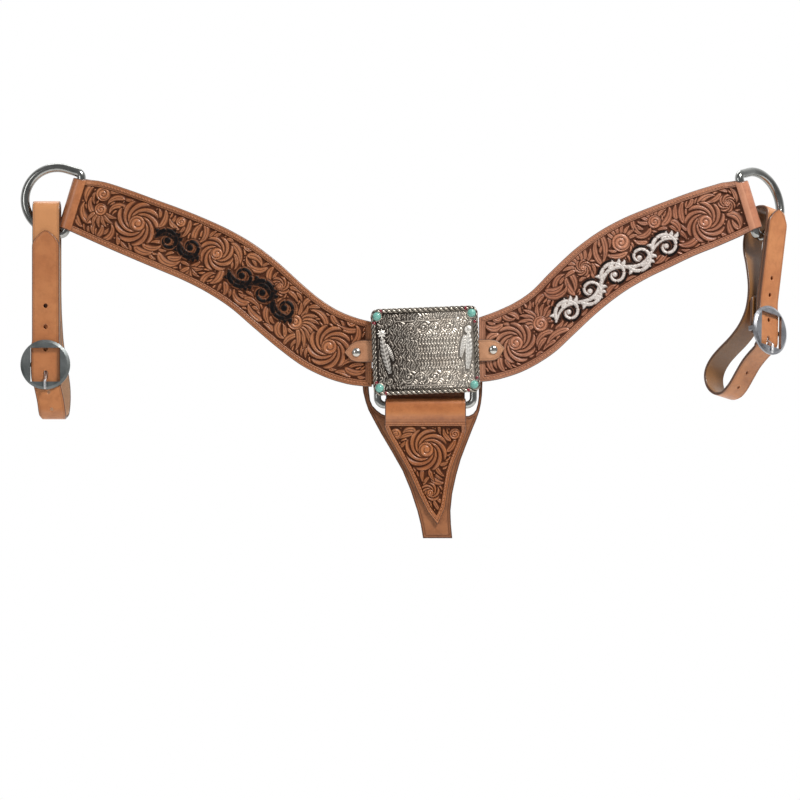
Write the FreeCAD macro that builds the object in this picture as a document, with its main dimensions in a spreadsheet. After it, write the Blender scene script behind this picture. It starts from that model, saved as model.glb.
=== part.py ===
import FreeCAD, Part
import math
import os

V = FreeCAD.Vector

# Western leather breast collar, millimetres. +X to the wearer's view right, +Z up, the
# tooled side faces -Y. Y = 0 is the back of the leather safe, which lies on the chest.

doc = FreeCAD.newDocument("breastplate")
sheet = doc.addObject("Spreadsheet::Sheet", "Sizes")
SIZES = [
    ("face_thick", 3.2), ("lining_thick", 2.3), ("lining_back", -6.4), ("face_back", -8.7),
    ("bar_y", -9.0), ("safe_thick", 2.0),
    ("ring_half", 45.6), ("ring_wire", 3.5), ("ring_top", 33.0), ("ring_low", -51.3), ("ring_bend", 7.0),
    ("dee_wire", 4.3), ("dee_bow", 30.6), ("dee_side", 16.0), ("dee_bend", 5.5), ("fold_gap", 0.1),
    ("dee_leather", 3.0), ("tab_thick", 2.2), ("tab_width", 21.0),
    ("plate_wide", 91.1), ("plate_tall", 72.9), ("plate_thick", 2.6), ("plate_back", -16.0), ("plate_turn", -2.2),
    ("rope_wire", 2.4), ("rope_wide", 48.0), ("rope_tall", 38.9), ("rope_bend", 5.0),
    ("bead_big", 4.1), ("bead_small", 1.9),
    ("drop_leather", 2.6), ("drop_lining_thick", 2.2), ("drop_lining_back", -2.0),
    ("tug_thick", 2.8), ("tug_width", 25.4), ("tug_hole", 2.3),
    ("buckle_outer", 23.5), ("buckle_window_wide", 28.3), ("buckle_window_tall", 32.0), ("buckle_bar", 2.0),
    ("prong_wire", 1.4), ("screw_head", 4.0), ("screw_barrel", 2.3), ("screw_stud", 1.5),
    ("clip_outer", 4.6), ("clip_wide", 6.0),
]
for i, (name, value) in enumerate(SIZES):
    sheet.set("A%d" % (i + 1), name)
    sheet.set("B%d" % (i + 1), str(value))
    sheet.setAlias("B%d" % (i + 1), name)
doc.recompute()
S = {name: float(sheet.get(name)) for name, _ in SIZES}

parts = []


def add(obj, label):
    obj.Label = label
    parts.append(obj)
    return obj


def prim(kind, name, place=None, **sizes):
    o = doc.addObject("Part::" + kind, name)
    for key, val in sizes.items():
        if isinstance(val, str):
            o.setExpression(key, val)
        else:
            setattr(o, key, val)
    if place is not None:
        o.Placement = place
    return o


def at(x, y, z, axis=None, deg=0.0):
    rot = FreeCAD.Rotation(V(*axis), deg) if axis else FreeCAD.Rotation()
    return FreeCAD.Placement(V(x, y, z), rot)


def cut(name, base, tool):
    o = doc.addObject("Part::Cut", name)
    o.Base = base
    o.Tool = tool
    return o


def common(name, base, tool):
    o = doc.addObject("Part::Common", name)
    o.Base = base
    o.Tool = tool
    return o


def fuse(name, shapes, refine=True):
    o = doc.addObject("Part::MultiFuse", name)
    o.Shapes = shapes
    o.Refine = refine
    return o


def plane_of(body, role):
    for f in body.Origin.OriginFeatures:
        if f.Role == role:
            return f


def body_pad(name, role, curves, length, mid=False, y=None):
    """A body with one closed sketch on an origin plane, padded by a sheet expression."""
    body = doc.addObject("PartDesign::Body", name)
    sk = body.newObject("Sketcher::SketchObject", name + "_sketch")
    sk.AttachmentSupport = [(plane_of(body, role), "")]
    sk.MapMode = "FlatFace"
    for c in curves:
        sk.addGeometry(c, False)
    pad = body.newObject("PartDesign::Pad", name + "_pad")
    pad.Profile = sk
    pad.SideType = "Symmetric" if mid else "One side"
    if isinstance(length, str):
        pad.setExpression("Length", length)
    else:
        pad.Length = length
    body.Tip = pad
    if y is not None:
        body.setExpression("Placement.Base.y", y)
    return body


def p2(p):
    return V(p[0], p[1], 0)


def spline(points):
    c = Part.BSplineCurve()
    c.interpolate([p2(p) for p in points])
    return c


def line(a, b):
    return Part.LineSegment(p2(a), p2(b))


def loop(*runs):
    """Closed outline out of runs of points: a run of two points is a line, a longer one a
    smooth curve; the runs are joined end to end by lines."""
    out = []
    n = len(runs)
    for i, r in enumerate(runs):
        out.append(line(r[0], r[1]) if len(r) == 2 else spline(r))
        a, b = r[-1], runs[(i + 1) % n][0]
        if math.hypot(a[0] - b[0], a[1] - b[1]) > 1e-6:
            out.append(line(a, b))
    return out


def poly(points):
    return [line(points[i], points[(i + 1) % len(points)]) for i in range(len(points))]


def ribbon(points, radii, thick):
    """Outline of a strap of constant thickness whose middle line runs through the points
    with an arc of the given radius at each inner point."""
    h = thick / 2.0
    n = len(points)
    segs = []
    ends = []
    for i in range(1, n - 1):
        a, b, c = points[i - 1], points[i], points[i + 1]
        d1 = (b[0] - a[0], b[1] - a[1])
        d2 = (c[0] - b[0], c[1] - b[1])
        l1, l2 = math.hypot(*d1), math.hypot(*d2)
        d1 = (d1[0] / l1, d1[1] / l1)
        d2 = (d2[0] / l2, d2[1] / l2)
        turn = math.atan2(d1[0] * d2[1] - d1[1] * d2[0], d1[0] * d2[0] + d1[1] * d2[1])
        r = radii[i - 1]
        t = r * math.tan(abs(turn) / 2)
        s = 1.0 if turn > 0 else -1.0
        p = (b[0] - d1[0] * t, b[1] - d1[1] * t)
        q = (b[0] + d2[0] * t, b[1] + d2[1] * t)
        cen = (p[0] - d1[1] * r * s, p[1] + d1[0] * r * s)
        ends.append((p, q, cen, r, s, t, l1, l2))
        a0 = math.atan2(p[1] - cen[1], p[0] - cen[0])
        mid = (cen[0] + r * math.cos(a0 + turn / 2), cen[1] + r * math.sin(a0 + turn / 2))
        segs.append((p, mid, q, cen))
    for i, e in enumerate(ends):
        used = e[5] + (ends[i + 1][5] if i + 1 < len(ends) else 0)
        if used > e[7] + 1e-6 or (i == 0 and e[5] > e[6] + 1e-6):
            raise RuntimeError("ribbon arcs do not fit at point %d: %.2f of %.2f" % (i + 1, used, e[7]))

    def side(k):
        pts = []
        d = None
        cur = None
        out = []
        first = points[0]
        for (p, mid, q, cen) in segs:
            e = []
            for w in (p, mid, q):
                rx, ry = w[0] - cen[0], w[1] - cen[1]
                rr = math.hypot(rx, ry)
                e.append((rx / rr, ry / rr, rr))
            # k = +1 is left of the travel direction
            dirv = (p[0] - first[0], p[1] - first[1])
            ll = math.hypot(*dirv)
            dirv = (dirv[0] / ll, dirv[1] / ll)
            left = (-dirv[1], dirv[0])
            inward = (-(e[0][0] * left[0] + e[0][1] * left[1])) > 0  # centre lies to the left
            rad = e[0][2] - h * k if inward else e[0][2] + h * k
            w = [(cen[0] + x * rad, cen[1] + yv * rad) for x, yv, _ in e]
            if cur is None:
                cur = (first[0] + left[0] * h * k, first[1] + left[1] * h * k)
                start = cur
            if math.hypot(cur[0] - w[0][0], cur[1] - w[0][1]) > 1e-7:
                out.append(("l", cur, w[0]))
            out.append(("a", w[0], w[1], w[2]))
            cur = w[2]
            first = q
        last = points[-1]
        dirv = (last[0] - first[0], last[1] - first[1])
        ll = math.hypot(*dirv)
        left = (-dirv[1] / ll, dirv[0] / ll)
        end = (last[0] + left[0] * h * k, last[1] + left[1] * h * k)
        out.append(("l", cur, end))
        return start, end, out

    s1, e1, o1 = side(1)
    s2, e2, o2 = side(-1)
    curves = []
    for o in o1:
        curves.append(line(o[1], o[2]) if o[0] == "l" else Part.Arc(p2(o[1]), p2(o[2]), p2(o[3])))
    curves.append(line(e1, e2))
    for o in reversed(o2):
        curves.append(line(o[2], o[1]) if o[0] == "l" else Part.Arc(p2(o[3]), p2(o[2]), p2(o[1])))
    curves.append(line(s2, s1))
    return curves


# ---------------------------------------------------------------- shoulder straps
L_TOP = [(-322.5, 163.6), (-311.1, 161.9), (-299.7, 159.2), (-276.9, 151.6), (-254.1, 143.2), (-231.3, 134.8),
         (-208.5, 125.5), (-185.7, 114.9), (-162.9, 101.6), (-140.1, 84.3), (-117.3, 63.6), (-100.2, 49.4),
         (-83.1, 38.6), (-66.0, 31.7), (-50.9, 27.7)]
L_BOT = [(-50.9, -34.2), (-62.2, -33.4), (-75.5, -31.3), (-94.5, -25.4), (-117.3, -14.2), (-140.1, 2.5),
         (-162.9, 21.7), (-185.7, 41.2), (-208.5, 56.0), (-231.3, 67.6), (-254.1, 77.3), (-276.9, 86.9),
         (-299.7, 96.7), (-322.5, 106.4), (-335.0, 113.2)]
R_TOP = [(50.9, 32.0), (61.3, 35.6), (72.7, 40.2), (86.0, 46.8), (101.2, 57.3), (118.3, 74.6), (141.1, 96.1),
         (163.9, 113.0), (186.7, 125.6), (209.5, 135.2), (232.3, 143.9), (255.1, 152.1), (277.9, 159.0),
         (289.3, 161.8), (296.3, 162.2)]
R_BOT = [(307.6, 112.9), (298.8, 108.5), (277.9, 99.4), (255.1, 90.2), (232.3, 79.4), (209.5, 68.3),
         (186.7, 54.6), (163.9, 36.8), (141.1, 15.6), (124.0, -0.4), (106.9, -12.1), (89.8, -20.7),
         (72.7, -26.3), (61.3, -28.6), (50.9, -29.7)]

# the dee bars: centre, direction along the bar, direction outwards from the strap
TILT = math.radians(17.0)
BAR = {
    "left": (V(-334.8, -9.0, 139.1), V(math.sin(TILT), 0, math.cos(TILT)), V(-math.cos(TILT), 0, math.sin(TILT)), 24.8),
    "right": (V(306.2, -9.0, 137.9), V(-math.sin(TILT), 0, math.cos(TILT)), V(math.cos(TILT), 0, math.sin(TILT)), 23.4),
}
SWING = {"left": 0.0, "right": 43.0}     # the right dee lies swung back towards the shoulder


def strap_outline(side, back_off):
    """The strap's outline, ending on a line parallel to the dee bar, back_off inside its axis."""
    cen, u, o, half = BAR[side]
    e = cen - o * back_off
    a = (e.x + u.x * half, e.z + u.z * half)
    b = (e.x - u.x * half, e.z - u.z * half)
    if side == "left":
        top = [p for p in L_TOP if (p[0] - a[0]) * -o.x + (p[1] - a[1]) * -o.z > 4]
        bot = [p for p in L_BOT if (p[0] - b[0]) * -o.x + (p[1] - b[1]) * -o.z > 4]
        return loop([a] + top, bot + [b])
    top = [p for p in R_TOP if (p[0] - a[0]) * -o.x + (p[1] - a[1]) * -o.z > 4]
    bot = [p for p in R_BOT if (p[0] - b[0]) * -o.x + (p[1] - b[1]) * -o.z > 4]
    return loop(top + [a], [b] + bot)


SCREW = {"left": (-65.5, -1.3), "right": (64.3, 1.3)}
TAB = {
    "left": [(-40.0, 10.6), (-60.5, 10.4), (-69.8, 8.0), (-77.0, -1.2), (-69.8, -9.9), (-60.5, -10.9), (-40.0, -10.6)],
    "right": [(40.0, 10.8), (60.5, 11.2), (68.9, 9.4), (75.5, 2.8), (68.9, -7.6), (60.5, -9.9), (40.0, -10.4)],
}
for side in ("left", "right"):
    k = -1.0 if side == "left" else 1.0
    cen, u, o, half = BAR[side]
    fold_r = S["dee_wire"] + S["fold_gap"] + S["dee_leather"]
    sx, sz = SCREW[side]
    low = cen - u * half
    turn = FreeCAD.Rotation(V(0, 0, 1), u)
    # face leather with its fold round the dee bar
    blank = body_pad(side + "_face_blank", "XZ_Plane", strap_outline(side, 0.5), "Sizes.face_thick", y="Sizes.face_back")
    fold = prim("Cylinder", side + "_face_fold", FreeCAD.Placement(low, turn), Radius="Sizes.dee_wire + Sizes.fold_gap + Sizes.dee_leather", Height=2 * half)
    eye = prim("Cylinder", side + "_face_eye", FreeCAD.Placement(low - u * 5, turn), Radius="Sizes.dee_wire + Sizes.fold_gap", Height=2 * half + 10)
    pin = prim("Cylinder", side + "_face_screw_hole", at(sx, -20, sz, (1, 0, 0), -90), Radius="Sizes.screw_barrel + 0.1", Height=20)
    add(cut(side + "_shoulder_face", fuse(side + "_face_sum", [blank, fold]), fuse(side + "_face_holes", [eye, pin], False)), side + "_shoulder_face")
    # lining behind it, stopping short of the fold
    lin = body_pad(side + "_lining_blank", "XZ_Plane", strap_outline(side, fold_r + 0.3), "Sizes.lining_thick", y="Sizes.lining_back")
    pin2 = prim("Cylinder", side + "_lining_screw_hole", at(sx, -20, sz, (1, 0, 0), -90), Radius="Sizes.screw_barrel + 0.1", Height=20)
    add(cut(side + "_shoulder_lining", lin, pin2), side + "_shoulder_lining")
    # plain tab looped round the ring's side bar
    mid = S["ring_wire"] + 0.1 + S["tab_thick"] / 2
    f = 8.7 + S["face_thick"] - 9.0 + 0.05 + S["tab_thick"] / 2
    b = -(9.0 - 6.4) - 0.05 - S["tab_thick"] / 2
    bx = k * S["ring_half"]
    prof = [(bx + k * 34, -9 - f), (bx + k * 9, -9 - f), (bx + k * 2.2, -9 - mid), (bx - k * mid, -9 - mid), (bx - k * mid, -9 + mid),
            (bx + k * 2.2, -9 + mid), (bx + k * 9, -9 - b), (bx + k * 34, -9 - b)]
    loopstrip = body_pad(side + "_tab_loop", "XY_Plane", ribbon(prof, [8, 6, mid - 0.01, mid - 0.01, 6, 8], S["tab_thick"]), "Sizes.tab_width + 4", mid=True)
    shape = body_pad(side + "_tab_outline", "XZ_Plane", poly(TAB[side]), 30.0)
    tabpin = prim("Cylinder", side + "_tab_screw_hole", at(sx, -25, sz, (1, 0, 0), -90), Radius="Sizes.screw_barrel + 0.1", Height=25)
    add(cut(side + "_tab", common(side + "_tab_cut", loopstrip, shape), tabpin), side + "_tab")
    front = -9 - f - S["tab_thick"] / 2
    back = -9 - b + S["tab_thick"] / 2
    head = prim("Cylinder", side + "_tab_screw_rim", at(sx, front - 0.05, sz, (1, 0, 0), 90), Radius="Sizes.screw_head", Height=0.9)
    dome = prim("Sphere", side + "_tab_screw_ball", at(sx, front - 0.05 - 0.9 + 4.2, sz), Radius=5.8)
    cap = prim("Cylinder", side + "_tab_screw_keep", at(sx, front - 0.05 - 0.9, sz, (1, 0, 0), 90), Radius="Sizes.screw_head", Height=3)
    stud = prim("Cylinder", side + "_tab_screw_stud", at(sx, front - 0.3, sz, (1, 0, 0), -90), Radius="Sizes.screw_stud", Height=6.0)
    add(fuse(side + "_tab_screw", [head, common(side + "_tab_screw_dome", dome, cap), stud]), side + "_tab_screw")
    flange = prim("Cylinder", side + "_tab_post_flange", at(sx, back + 0.05 + 0.8, sz, (1, 0, 0), 90), Radius=4.6, Height=0.8)
    barrel = prim("Cylinder", side + "_tab_post_barrel", at(sx, back + 0.5, sz, (1, 0, 0), 90), Radius="Sizes.screw_barrel", Height=abs(front - back) + 0.3)
    bore = prim("Cylinder", side + "_tab_post_bore", at(sx, back - 1.0, sz, (1, 0, 0), 90), Radius="Sizes.screw_stud + 0.05", Height=20)
    add(cut(side + "_tab_post", fuse(side + "_tab_post_sum", [flange, barrel]), bore), side + "_tab_post")

# ---------------------------------------------------------------- centre ring
h, t, lo, w, r = S["ring_half"], S["ring_top"], S["ring_low"], S["ring_wire"], S["ring_bend"]
y0 = S["bar_y"]
ring = [
    prim("Cylinder", "ring_left", at(-h, y0, lo + r), Radius="Sizes.ring_wire", Height="Sizes.ring_top - Sizes.ring_low - 2 * Sizes.ring_bend"),
    prim("Cylinder", "ring_right", at(h, y0, lo + r), Radius="Sizes.ring_wire", Height="Sizes.ring_top - Sizes.ring_low - 2 * Sizes.ring_bend"),
    prim("Cylinder", "ring_bottom", at(-h + r, y0, lo, (0, 1, 0), 90), Radius="Sizes.ring_wire", Height="2 * Sizes.ring_half - 2 * Sizes.ring_bend"),
    prim("Cylinder", "ring_over", at(-h + r, y0, t, (0, 1, 0), 90), Radius="Sizes.ring_wire", Height="2 * Sizes.ring_half - 2 * Sizes.ring_bend"),
]
for i, (cx, cz, a0) in enumerate([(h - r, t - r, 0), (-h + r, t - r, 90), (-h + r, lo + r, 180), (h - r, lo + r, 270)]):
    rot = FreeCAD.Rotation(V(1, 0, 0), 90).multiply(FreeCAD.Rotation(V(0, 0, 1), a0))
    ring.append(prim("Torus", "ring_corner%d" % i, FreeCAD.Placement(V(cx, y0, cz), rot), Radius1="Sizes.ring_bend", Radius2="Sizes.ring_wire", Angle3=90))
add(fuse("centre_ring", ring), "centre_ring")

# ---------------------------------------------------------------- trophy plate
PC = V(0.0, 0.0, 0.3)
turn = FreeCAD.Rotation(V(0, 1, 0), S["plate_turn"])


def on_plate(x, z, y):
    q = turn.multVec(V(x, 0, z))
    return V(PC.x + q.x, y, PC.z + q.z)


def plate_place(x, z, y, extra=None):
    rot = turn.multiply(extra) if extra else turn
    return FreeCAD.Placement(on_plate(x, z, y), rot)


pb, pt = S["plate_back"], S["plate_thick"]
pw, ph_, pc = S["plate_wide"] / 2, S["plate_tall"] / 2, 2.0
plate = body_pad("plate_blank", "XZ_Plane", poly([(-pw + pc, -ph_), (pw - pc, -ph_), (pw, -ph_ + pc), (pw, ph_ - pc), (pw - pc, ph_),
                                                  (-pw + pc, ph_), (-pw, ph_ - pc), (-pw, -ph_ + pc)]), "Sizes.plate_thick")
plate.Placement = FreeCAD.Placement(V(PC.x, pb, PC.z), turn)
clip_at = [(-45.6, 17.0), (-45.6, -17.0), (45.6, 17.0), (45.6, -17.0)]
holes = []
for i, (cx, cz) in enumerate(clip_at):
    s = 1 if cx < 0 else -1
    holes.append(prim("Cylinder", "plate_screw_hole%d" % i, at(cx + s * 11, pb - 1.8, cz, (1, 0, 0), -90), Radius="Sizes.screw_stud + 0.05", Height=4))
add(cut("trophy_plate", plate, fuse("plate_holes", holes, False)), "trophy_plate")

rw, rt, rb = S["rope_wide"], S["rope_tall"], S["rope_bend"]
ry = pb - S["rope_wire"] - 0.05
rope = []
for name, x, z, ax, deg, ln in [("left", -rw, -rt + rb, None, 0, 2 * (rt - rb)), ("right", rw, -rt + rb, None, 0, 2 * (rt - rb)),
                                ("low", -rw + rb, -rt, (0, 1, 0), 90, 2 * (rw - rb)), ("high", -rw + rb, rt, (0, 1, 0), 90, 2 * (rw - rb))]:
    ex = FreeCAD.Rotation(V(*ax), deg) if ax else None
    rope.append(prim("Cylinder", "rope_" + name, plate_place(x, z, ry, ex), Radius="Sizes.rope_wire", Height=ln))
for i, (cx, cz, a0) in enumerate([(rw - rb, rt - rb, 0), (-rw + rb, rt - rb, 90), (-rw + rb, -rt + rb, 180), (rw - rb, -rt + rb, 270)]):
    ex = FreeCAD.Rotation(V(1, 0, 0), 90).multiply(FreeCAD.Rotation(V(0, 0, 1), a0))
    rope.append(prim("Torus", "rope_corner%d" % i, plate_place(cx, cz, ry, ex), Radius1="Sizes.rope_bend", Radius2="Sizes.rope_wire", Angle3=90))
BIG = [(-45.0, 34.0), (45.0, 34.0), (-45.0, -34.0), (45.0, -34.0)]
SMALL = [(-40.6, 38.9), (-48.0, 27.6), (39.6, 38.9), (48.0, 25.6), (-39.0, -38.9), (-48.0, -28.6), (39.4, -38.9), (48.0, -27.6)]
notches = [prim("Cylinder", "rope_notch%d" % i, plate_place(x, z, pb + 2, FreeCAD.Rotation(V(1, 0, 0), 90)), Radius="Sizes.bead_big + 0.1", Height=9) for i, (x, z) in enumerate(BIG)]
notches += [prim("Cylinder", "rope_dent%d" % i, plate_place(x, z, pb - 2.6, FreeCAD.Rotation(V(1, 0, 0), 90)), Radius="Sizes.bead_small + 0.05", Height=9) for i, (x, z) in enumerate(SMALL)]
add(cut("plate_rope_edge", fuse("rope_sum", rope), fuse("rope_notches", notches, False)), "plate_rope_edge")


def domes(name, spots, radius, back, deep):
    """Round stones with a flat back at y = back."""
    out = []
    for i, (x, z) in enumerate(spots):
        ball = prim("Sphere", "%s_ball%d" % (name, i), plate_place(x, z, back - deep), Radius=radius)
        keep = prim("Cylinder", "%s_keep%d" % (name, i), plate_place(x, z, back, FreeCAD.Rotation(V(1, 0, 0), 90)), Radius=20, Height=20)
        out.append(common("%s_stone%d" % (name, i), ball, keep))
    return out


def group(name, shapes):
    """Identical small pieces kept as separate solids in one node."""
    o = doc.addObject("Part::Compound", name)
    o.Links = shapes
    return o


front = pb - pt
add(group("plate_turquoise_beads", domes("turquoise", BIG, "Sizes.bead_big", front - 0.02, 0.6)), "plate_turquoise_beads")
add(group("plate_garnet_beads", domes("garnet", SMALL, "Sizes.bead_small", front - 0.02, 0.5)), "plate_garnet_beads")
plumes = []
for i, (x, z, a, rr, ll) in enumerate([(-37.6, -1.6, 8, 3.4, 20.5), (42.2, 0.8, -4, 2.9, 20.0), (35.3, 0.4, 5, 2.9, 18.5)]):
    q = FreeCAD.Rotation(V(0, 1, 0), -a)
    e = prim("Ellipsoid", "plume_body%d" % i, plate_place(x, z, front - 0.02, q), Radius1=ll, Radius2=rr, Radius3=1.5)
    keep = prim("Box", "plume_keep%d" % i, plate_place(x - 30, z - 30, front - 20.02), Length=60, Width=20, Height=60)
    plumes.append(common("plume%d" % i, e, keep))
add(group("plate_plumes", plumes), "plate_plumes")
ban = [prim("Box", "banner_high", plate_place(-27, 28.6, front - 0.92, FreeCAD.Rotation(V(0, 1, 0), 0.5)), Length=57, Width=0.9, Height=1.5),
       prim("Box", "banner_low", plate_place(-22, -33.6, front - 0.92), Length=50, Width=0.9, Height=1.5)]
add(group("plate_banners", ban), "plate_banners")

clips, screws = [], []
for i, (cx, cz) in enumerate(clip_at):
    s = 1 if cx < 0 else -1
    eye = prim("Cylinder", "clip_eye%d" % i, at(cx, y0, cz - 3), Radius="Sizes.clip_outer", Height="Sizes.clip_wide")
    neck = prim("Box", "clip_neck%d" % i, at(cx - 2 if s > 0 else cx - 2, pb + 0.02, cz - 3), Length=4, Width=3.4, Height="Sizes.clip_wide")
    ear = prim("Box", "clip_ear%d" % i, at(cx if s > 0 else cx - 15, pb + 0.02, cz - 3), Length=15, Width=1.2, Height="Sizes.clip_wide")
    bore = prim("Cylinder", "clip_bore%d" % i, at(cx, y0, cz - 6), Radius="Sizes.ring_wire + 0.05", Height=12)
    drill = prim("Cylinder", "clip_drill%d" % i, at(cx + s * 11, pb - 1, cz, (1, 0, 0), -90), Radius="Sizes.screw_stud + 0.05", Height=6)
    clips.append(cut("clip%d" % i, fuse("clip_sum%d" % i, [eye, neck, ear]), fuse("clip_holes%d" % i, [bore, drill], False)))
    hd = prim("Cylinder", "clip_screw_head%d" % i, at(cx + s * 11, pb + 1.27, cz, (1, 0, 0), -90), Radius=2.7, Height=1.6)
    sh = prim("Cylinder", "clip_screw_shank%d" % i, at(cx + s * 11, pb - 1.5, cz, (1, 0, 0), -90), Radius="Sizes.screw_stud", Height=3.5)
    screws.append(fuse("clip_screw%d" % i, [hd, sh]))
add(group("plate_clips", clips), "plate_clips")
add(group("plate_clip_screws", screws), "plate_clip_screws")

# ---------------------------------------------------------------- safe behind the ring
SAFE = [(-43.0, -38.0), (43.0, -38.0), (43.0, -32.0), (50.9, -32.0), (50.3, -40.0), (49.9, -48.0), (49.6, -52.0), (52.8, -52.0),
        (54.0, -42.0), (54.4, -32.0), (54.6, -16.0), (43.0, -16.0), (43.0, 27.0), (-43.0, 27.0), (-43.0, -16.0), (-60.2, -16.0),
        (-60.1, -30.4), (-59.4, -38.9), (-57.0, -48.5), (-56.0, -52.0), (-52.6, -52.0), (-53.2, -47.0), (-53.8, -38.9),
        (-54.1, -32.0), (-43.0, -32.0)]
add(body_pad("ring_safe", "XZ_Plane", poly(SAFE), "Sizes.safe_thick"), "ring_safe")

# ---------------------------------------------------------------- drop strap
LIN_L = [(-51.5, -61.5), (-48.4, -67.3), (-42.6, -78.0), (-31.7, -96.5), (-21.8, -114.0), (-14.2, -132.5), (-7.7, -152.2), (-4.5, -165.2), (-2.3, -178.3)]
LIN_R = [(25.6, -178.3), (24.4, -165.2), (23.9, -152.2), (25.6, -135.8), (29.4, -118.4), (33.7, -103.1), (39.1, -88.9), (44.6, -74.8), (48.2, -66.2), (49.9, -61.5)]
add(body_pad("drop_lining", "XZ_Plane", loop(LIN_L, LIN_R), "Sizes.drop_lining_thick", y="Sizes.drop_lining_back"), "drop_lining")
OV_L = [(-38.3, -40.0), (-38.5, -62.0), (-38.9, -72.2), (-34.7, -81.7), (-26.6, -95.9), (-15.2, -116.4), (-6.6, -135.8), (1.9, -152.5), (11.3, -164.8)]
OV_R = [(19.0, -148.5), (21.4, -132.5), (24.2, -116.2), (28.5, -103.1), (34.5, -88.9), (38.8, -76.0), (38.5, -62.0), (38.3, -40.0)]
rr = S["ring_wire"] + S["fold_gap"] + S["drop_leather"] / 2
prof = [(-6.1, -71.0), (-6.1, -63.6), (-9 + rr, -54.5), (-9 + rr, lo + rr), (-9 - rr, lo + rr), (-9 - rr, -60.0), (-5.9, -78.0), (-5.9, -166.0)]
wrap = body_pad("drop_face_wrap", "YZ_Plane", ribbon(prof, [8, 8, rr - 0.01, rr - 0.01, 14, 22], S["drop_leather"]), 120.0, mid=True)
shape = body_pad("drop_face_outline", "XZ_Plane", poly(OV_L + OV_R), 30.0)
add(common("drop_face", wrap, shape), "drop_face")

# ---------------------------------------------------------------- dees
for side in ("left", "right"):
    cen, u, o, half = BAR[side]
    # local X runs out of the strap, local Z along the bar
    R1, rw_, rb_, rs = S["dee_bow"], S["dee_wire"], S["dee_bend"], S["dee_side"]
    pcs = [
        prim("Cylinder", side + "_dee_bar", at(0, 0, -(R1 - rb_)), Radius="Sizes.dee_wire", Height="2 * (Sizes.dee_bow - Sizes.dee_bend)"),
        prim("Torus", side + "_dee_bow", at(rs, 0, 0, (1, 0, 0), 90), Radius1="Sizes.dee_bow", Radius2="Sizes.dee_wire", Angle3=180),
        prim("Cylinder", side + "_dee_arm_low", at(rb_, 0, -R1, (0, 1, 0), 90), Radius="Sizes.dee_wire", Height="Sizes.dee_side - Sizes.dee_bend"),
        prim("Cylinder", side + "_dee_arm_high", at(rb_, 0, R1, (0, 1, 0), 90), Radius="Sizes.dee_wire", Height="Sizes.dee_side - Sizes.dee_bend"),
        prim("Torus", side + "_dee_corner_low", FreeCAD.Placement(V(rb_, 0, -R1 + rb_), FreeCAD.Rotation(V(1, 0, 0), 90).multiply(FreeCAD.Rotation(V(0, 0, 1), 180))), Radius1="Sizes.dee_bend", Radius2="Sizes.dee_wire", Angle3=90),
        prim("Torus", side + "_dee_corner_high", FreeCAD.Placement(V(rb_, 0, R1 - rb_), FreeCAD.Rotation(V(1, 0, 0), 90).multiply(FreeCAD.Rotation(V(0, 0, 1), 90))), Radius1="Sizes.dee_bend", Radius2="Sizes.dee_wire", Angle3=90),
    ]
    # half torus runs from +X; turn it so that it bows outwards
    pcs[1].Placement = FreeCAD.Placement(V(rs, 0, 0), FreeCAD.Rotation(V(1, 0, 0), 90).multiply(FreeCAD.Rotation(V(0, 0, 1), -90)))
    dee = fuse(side + "_dee", pcs)
    a = math.radians(SWING[side])
    out = V(o.x * math.cos(a), math.sin(a), o.z * math.cos(a))
    yv = u.cross(out)
    dee.Placement = FreeCAD.Placement(cen, FreeCAD.Rotation(out, yv, u, "ZXY"))
    add(dee, side + "_dee")

# ---------------------------------------------------------------- tugs
# Tug frame: local X across the strap, local -Y to the front, local Z up, with the dee wire at
# the origin. One strap: from the buckle bar up behind the billet, over the dee, down the back,
# round the bottom loop and up through the buckle to the pointed end.
GAP = S["tug_thick"] + 0.3
WR = S["buckle_bar"] + 0.1 + S["tug_thick"] / 2     # middle line of the wrap round the buckle bar
def rot2(p, deg, o=(0, 0)):
    c, s = math.cos(math.radians(deg)), math.sin(math.radians(deg))
    x, z = p[0] - o[0], p[1] - o[1]
    return (o[0] + c * x - s * z, o[1] + s * x + c * z)


# buckle bar (front positive n, up z) and the lean of the strap at the buckle
SPEC = {
    "left": dict(bar=(4.7, -130.3), lean=0.0),
    "right": dict(bar=(11.6, -96.2), lean=-9.0),
}
PLACE = {}
PLACE["left"] = (V(-360.0, -9.0, 117.2), FreeCAD.Rotation())
a = math.radians(SWING["right"])
cen, u, o, half = BAR["right"]
out = V(o.x * math.cos(a), math.sin(a), o.z * math.cos(a))
ph = 0.0
hang = cen + out * (S["dee_side"] + S["dee_bow"] * math.sin(ph)) - u * (S["dee_bow"] * math.cos(ph))
PHI, TAU = math.radians(42.0), math.radians(12.0)
wx = V(math.cos(PHI) * math.cos(TAU), math.sin(PHI) * math.cos(TAU), -math.sin(TAU))
nb = V(-math.sin(PHI), math.cos(PHI), 0)            # local +Y, to the back
PLACE["right"] = (hang, FreeCAD.Rotation(wx, nb, wx.cross(nb), "ZXY"))

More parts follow.
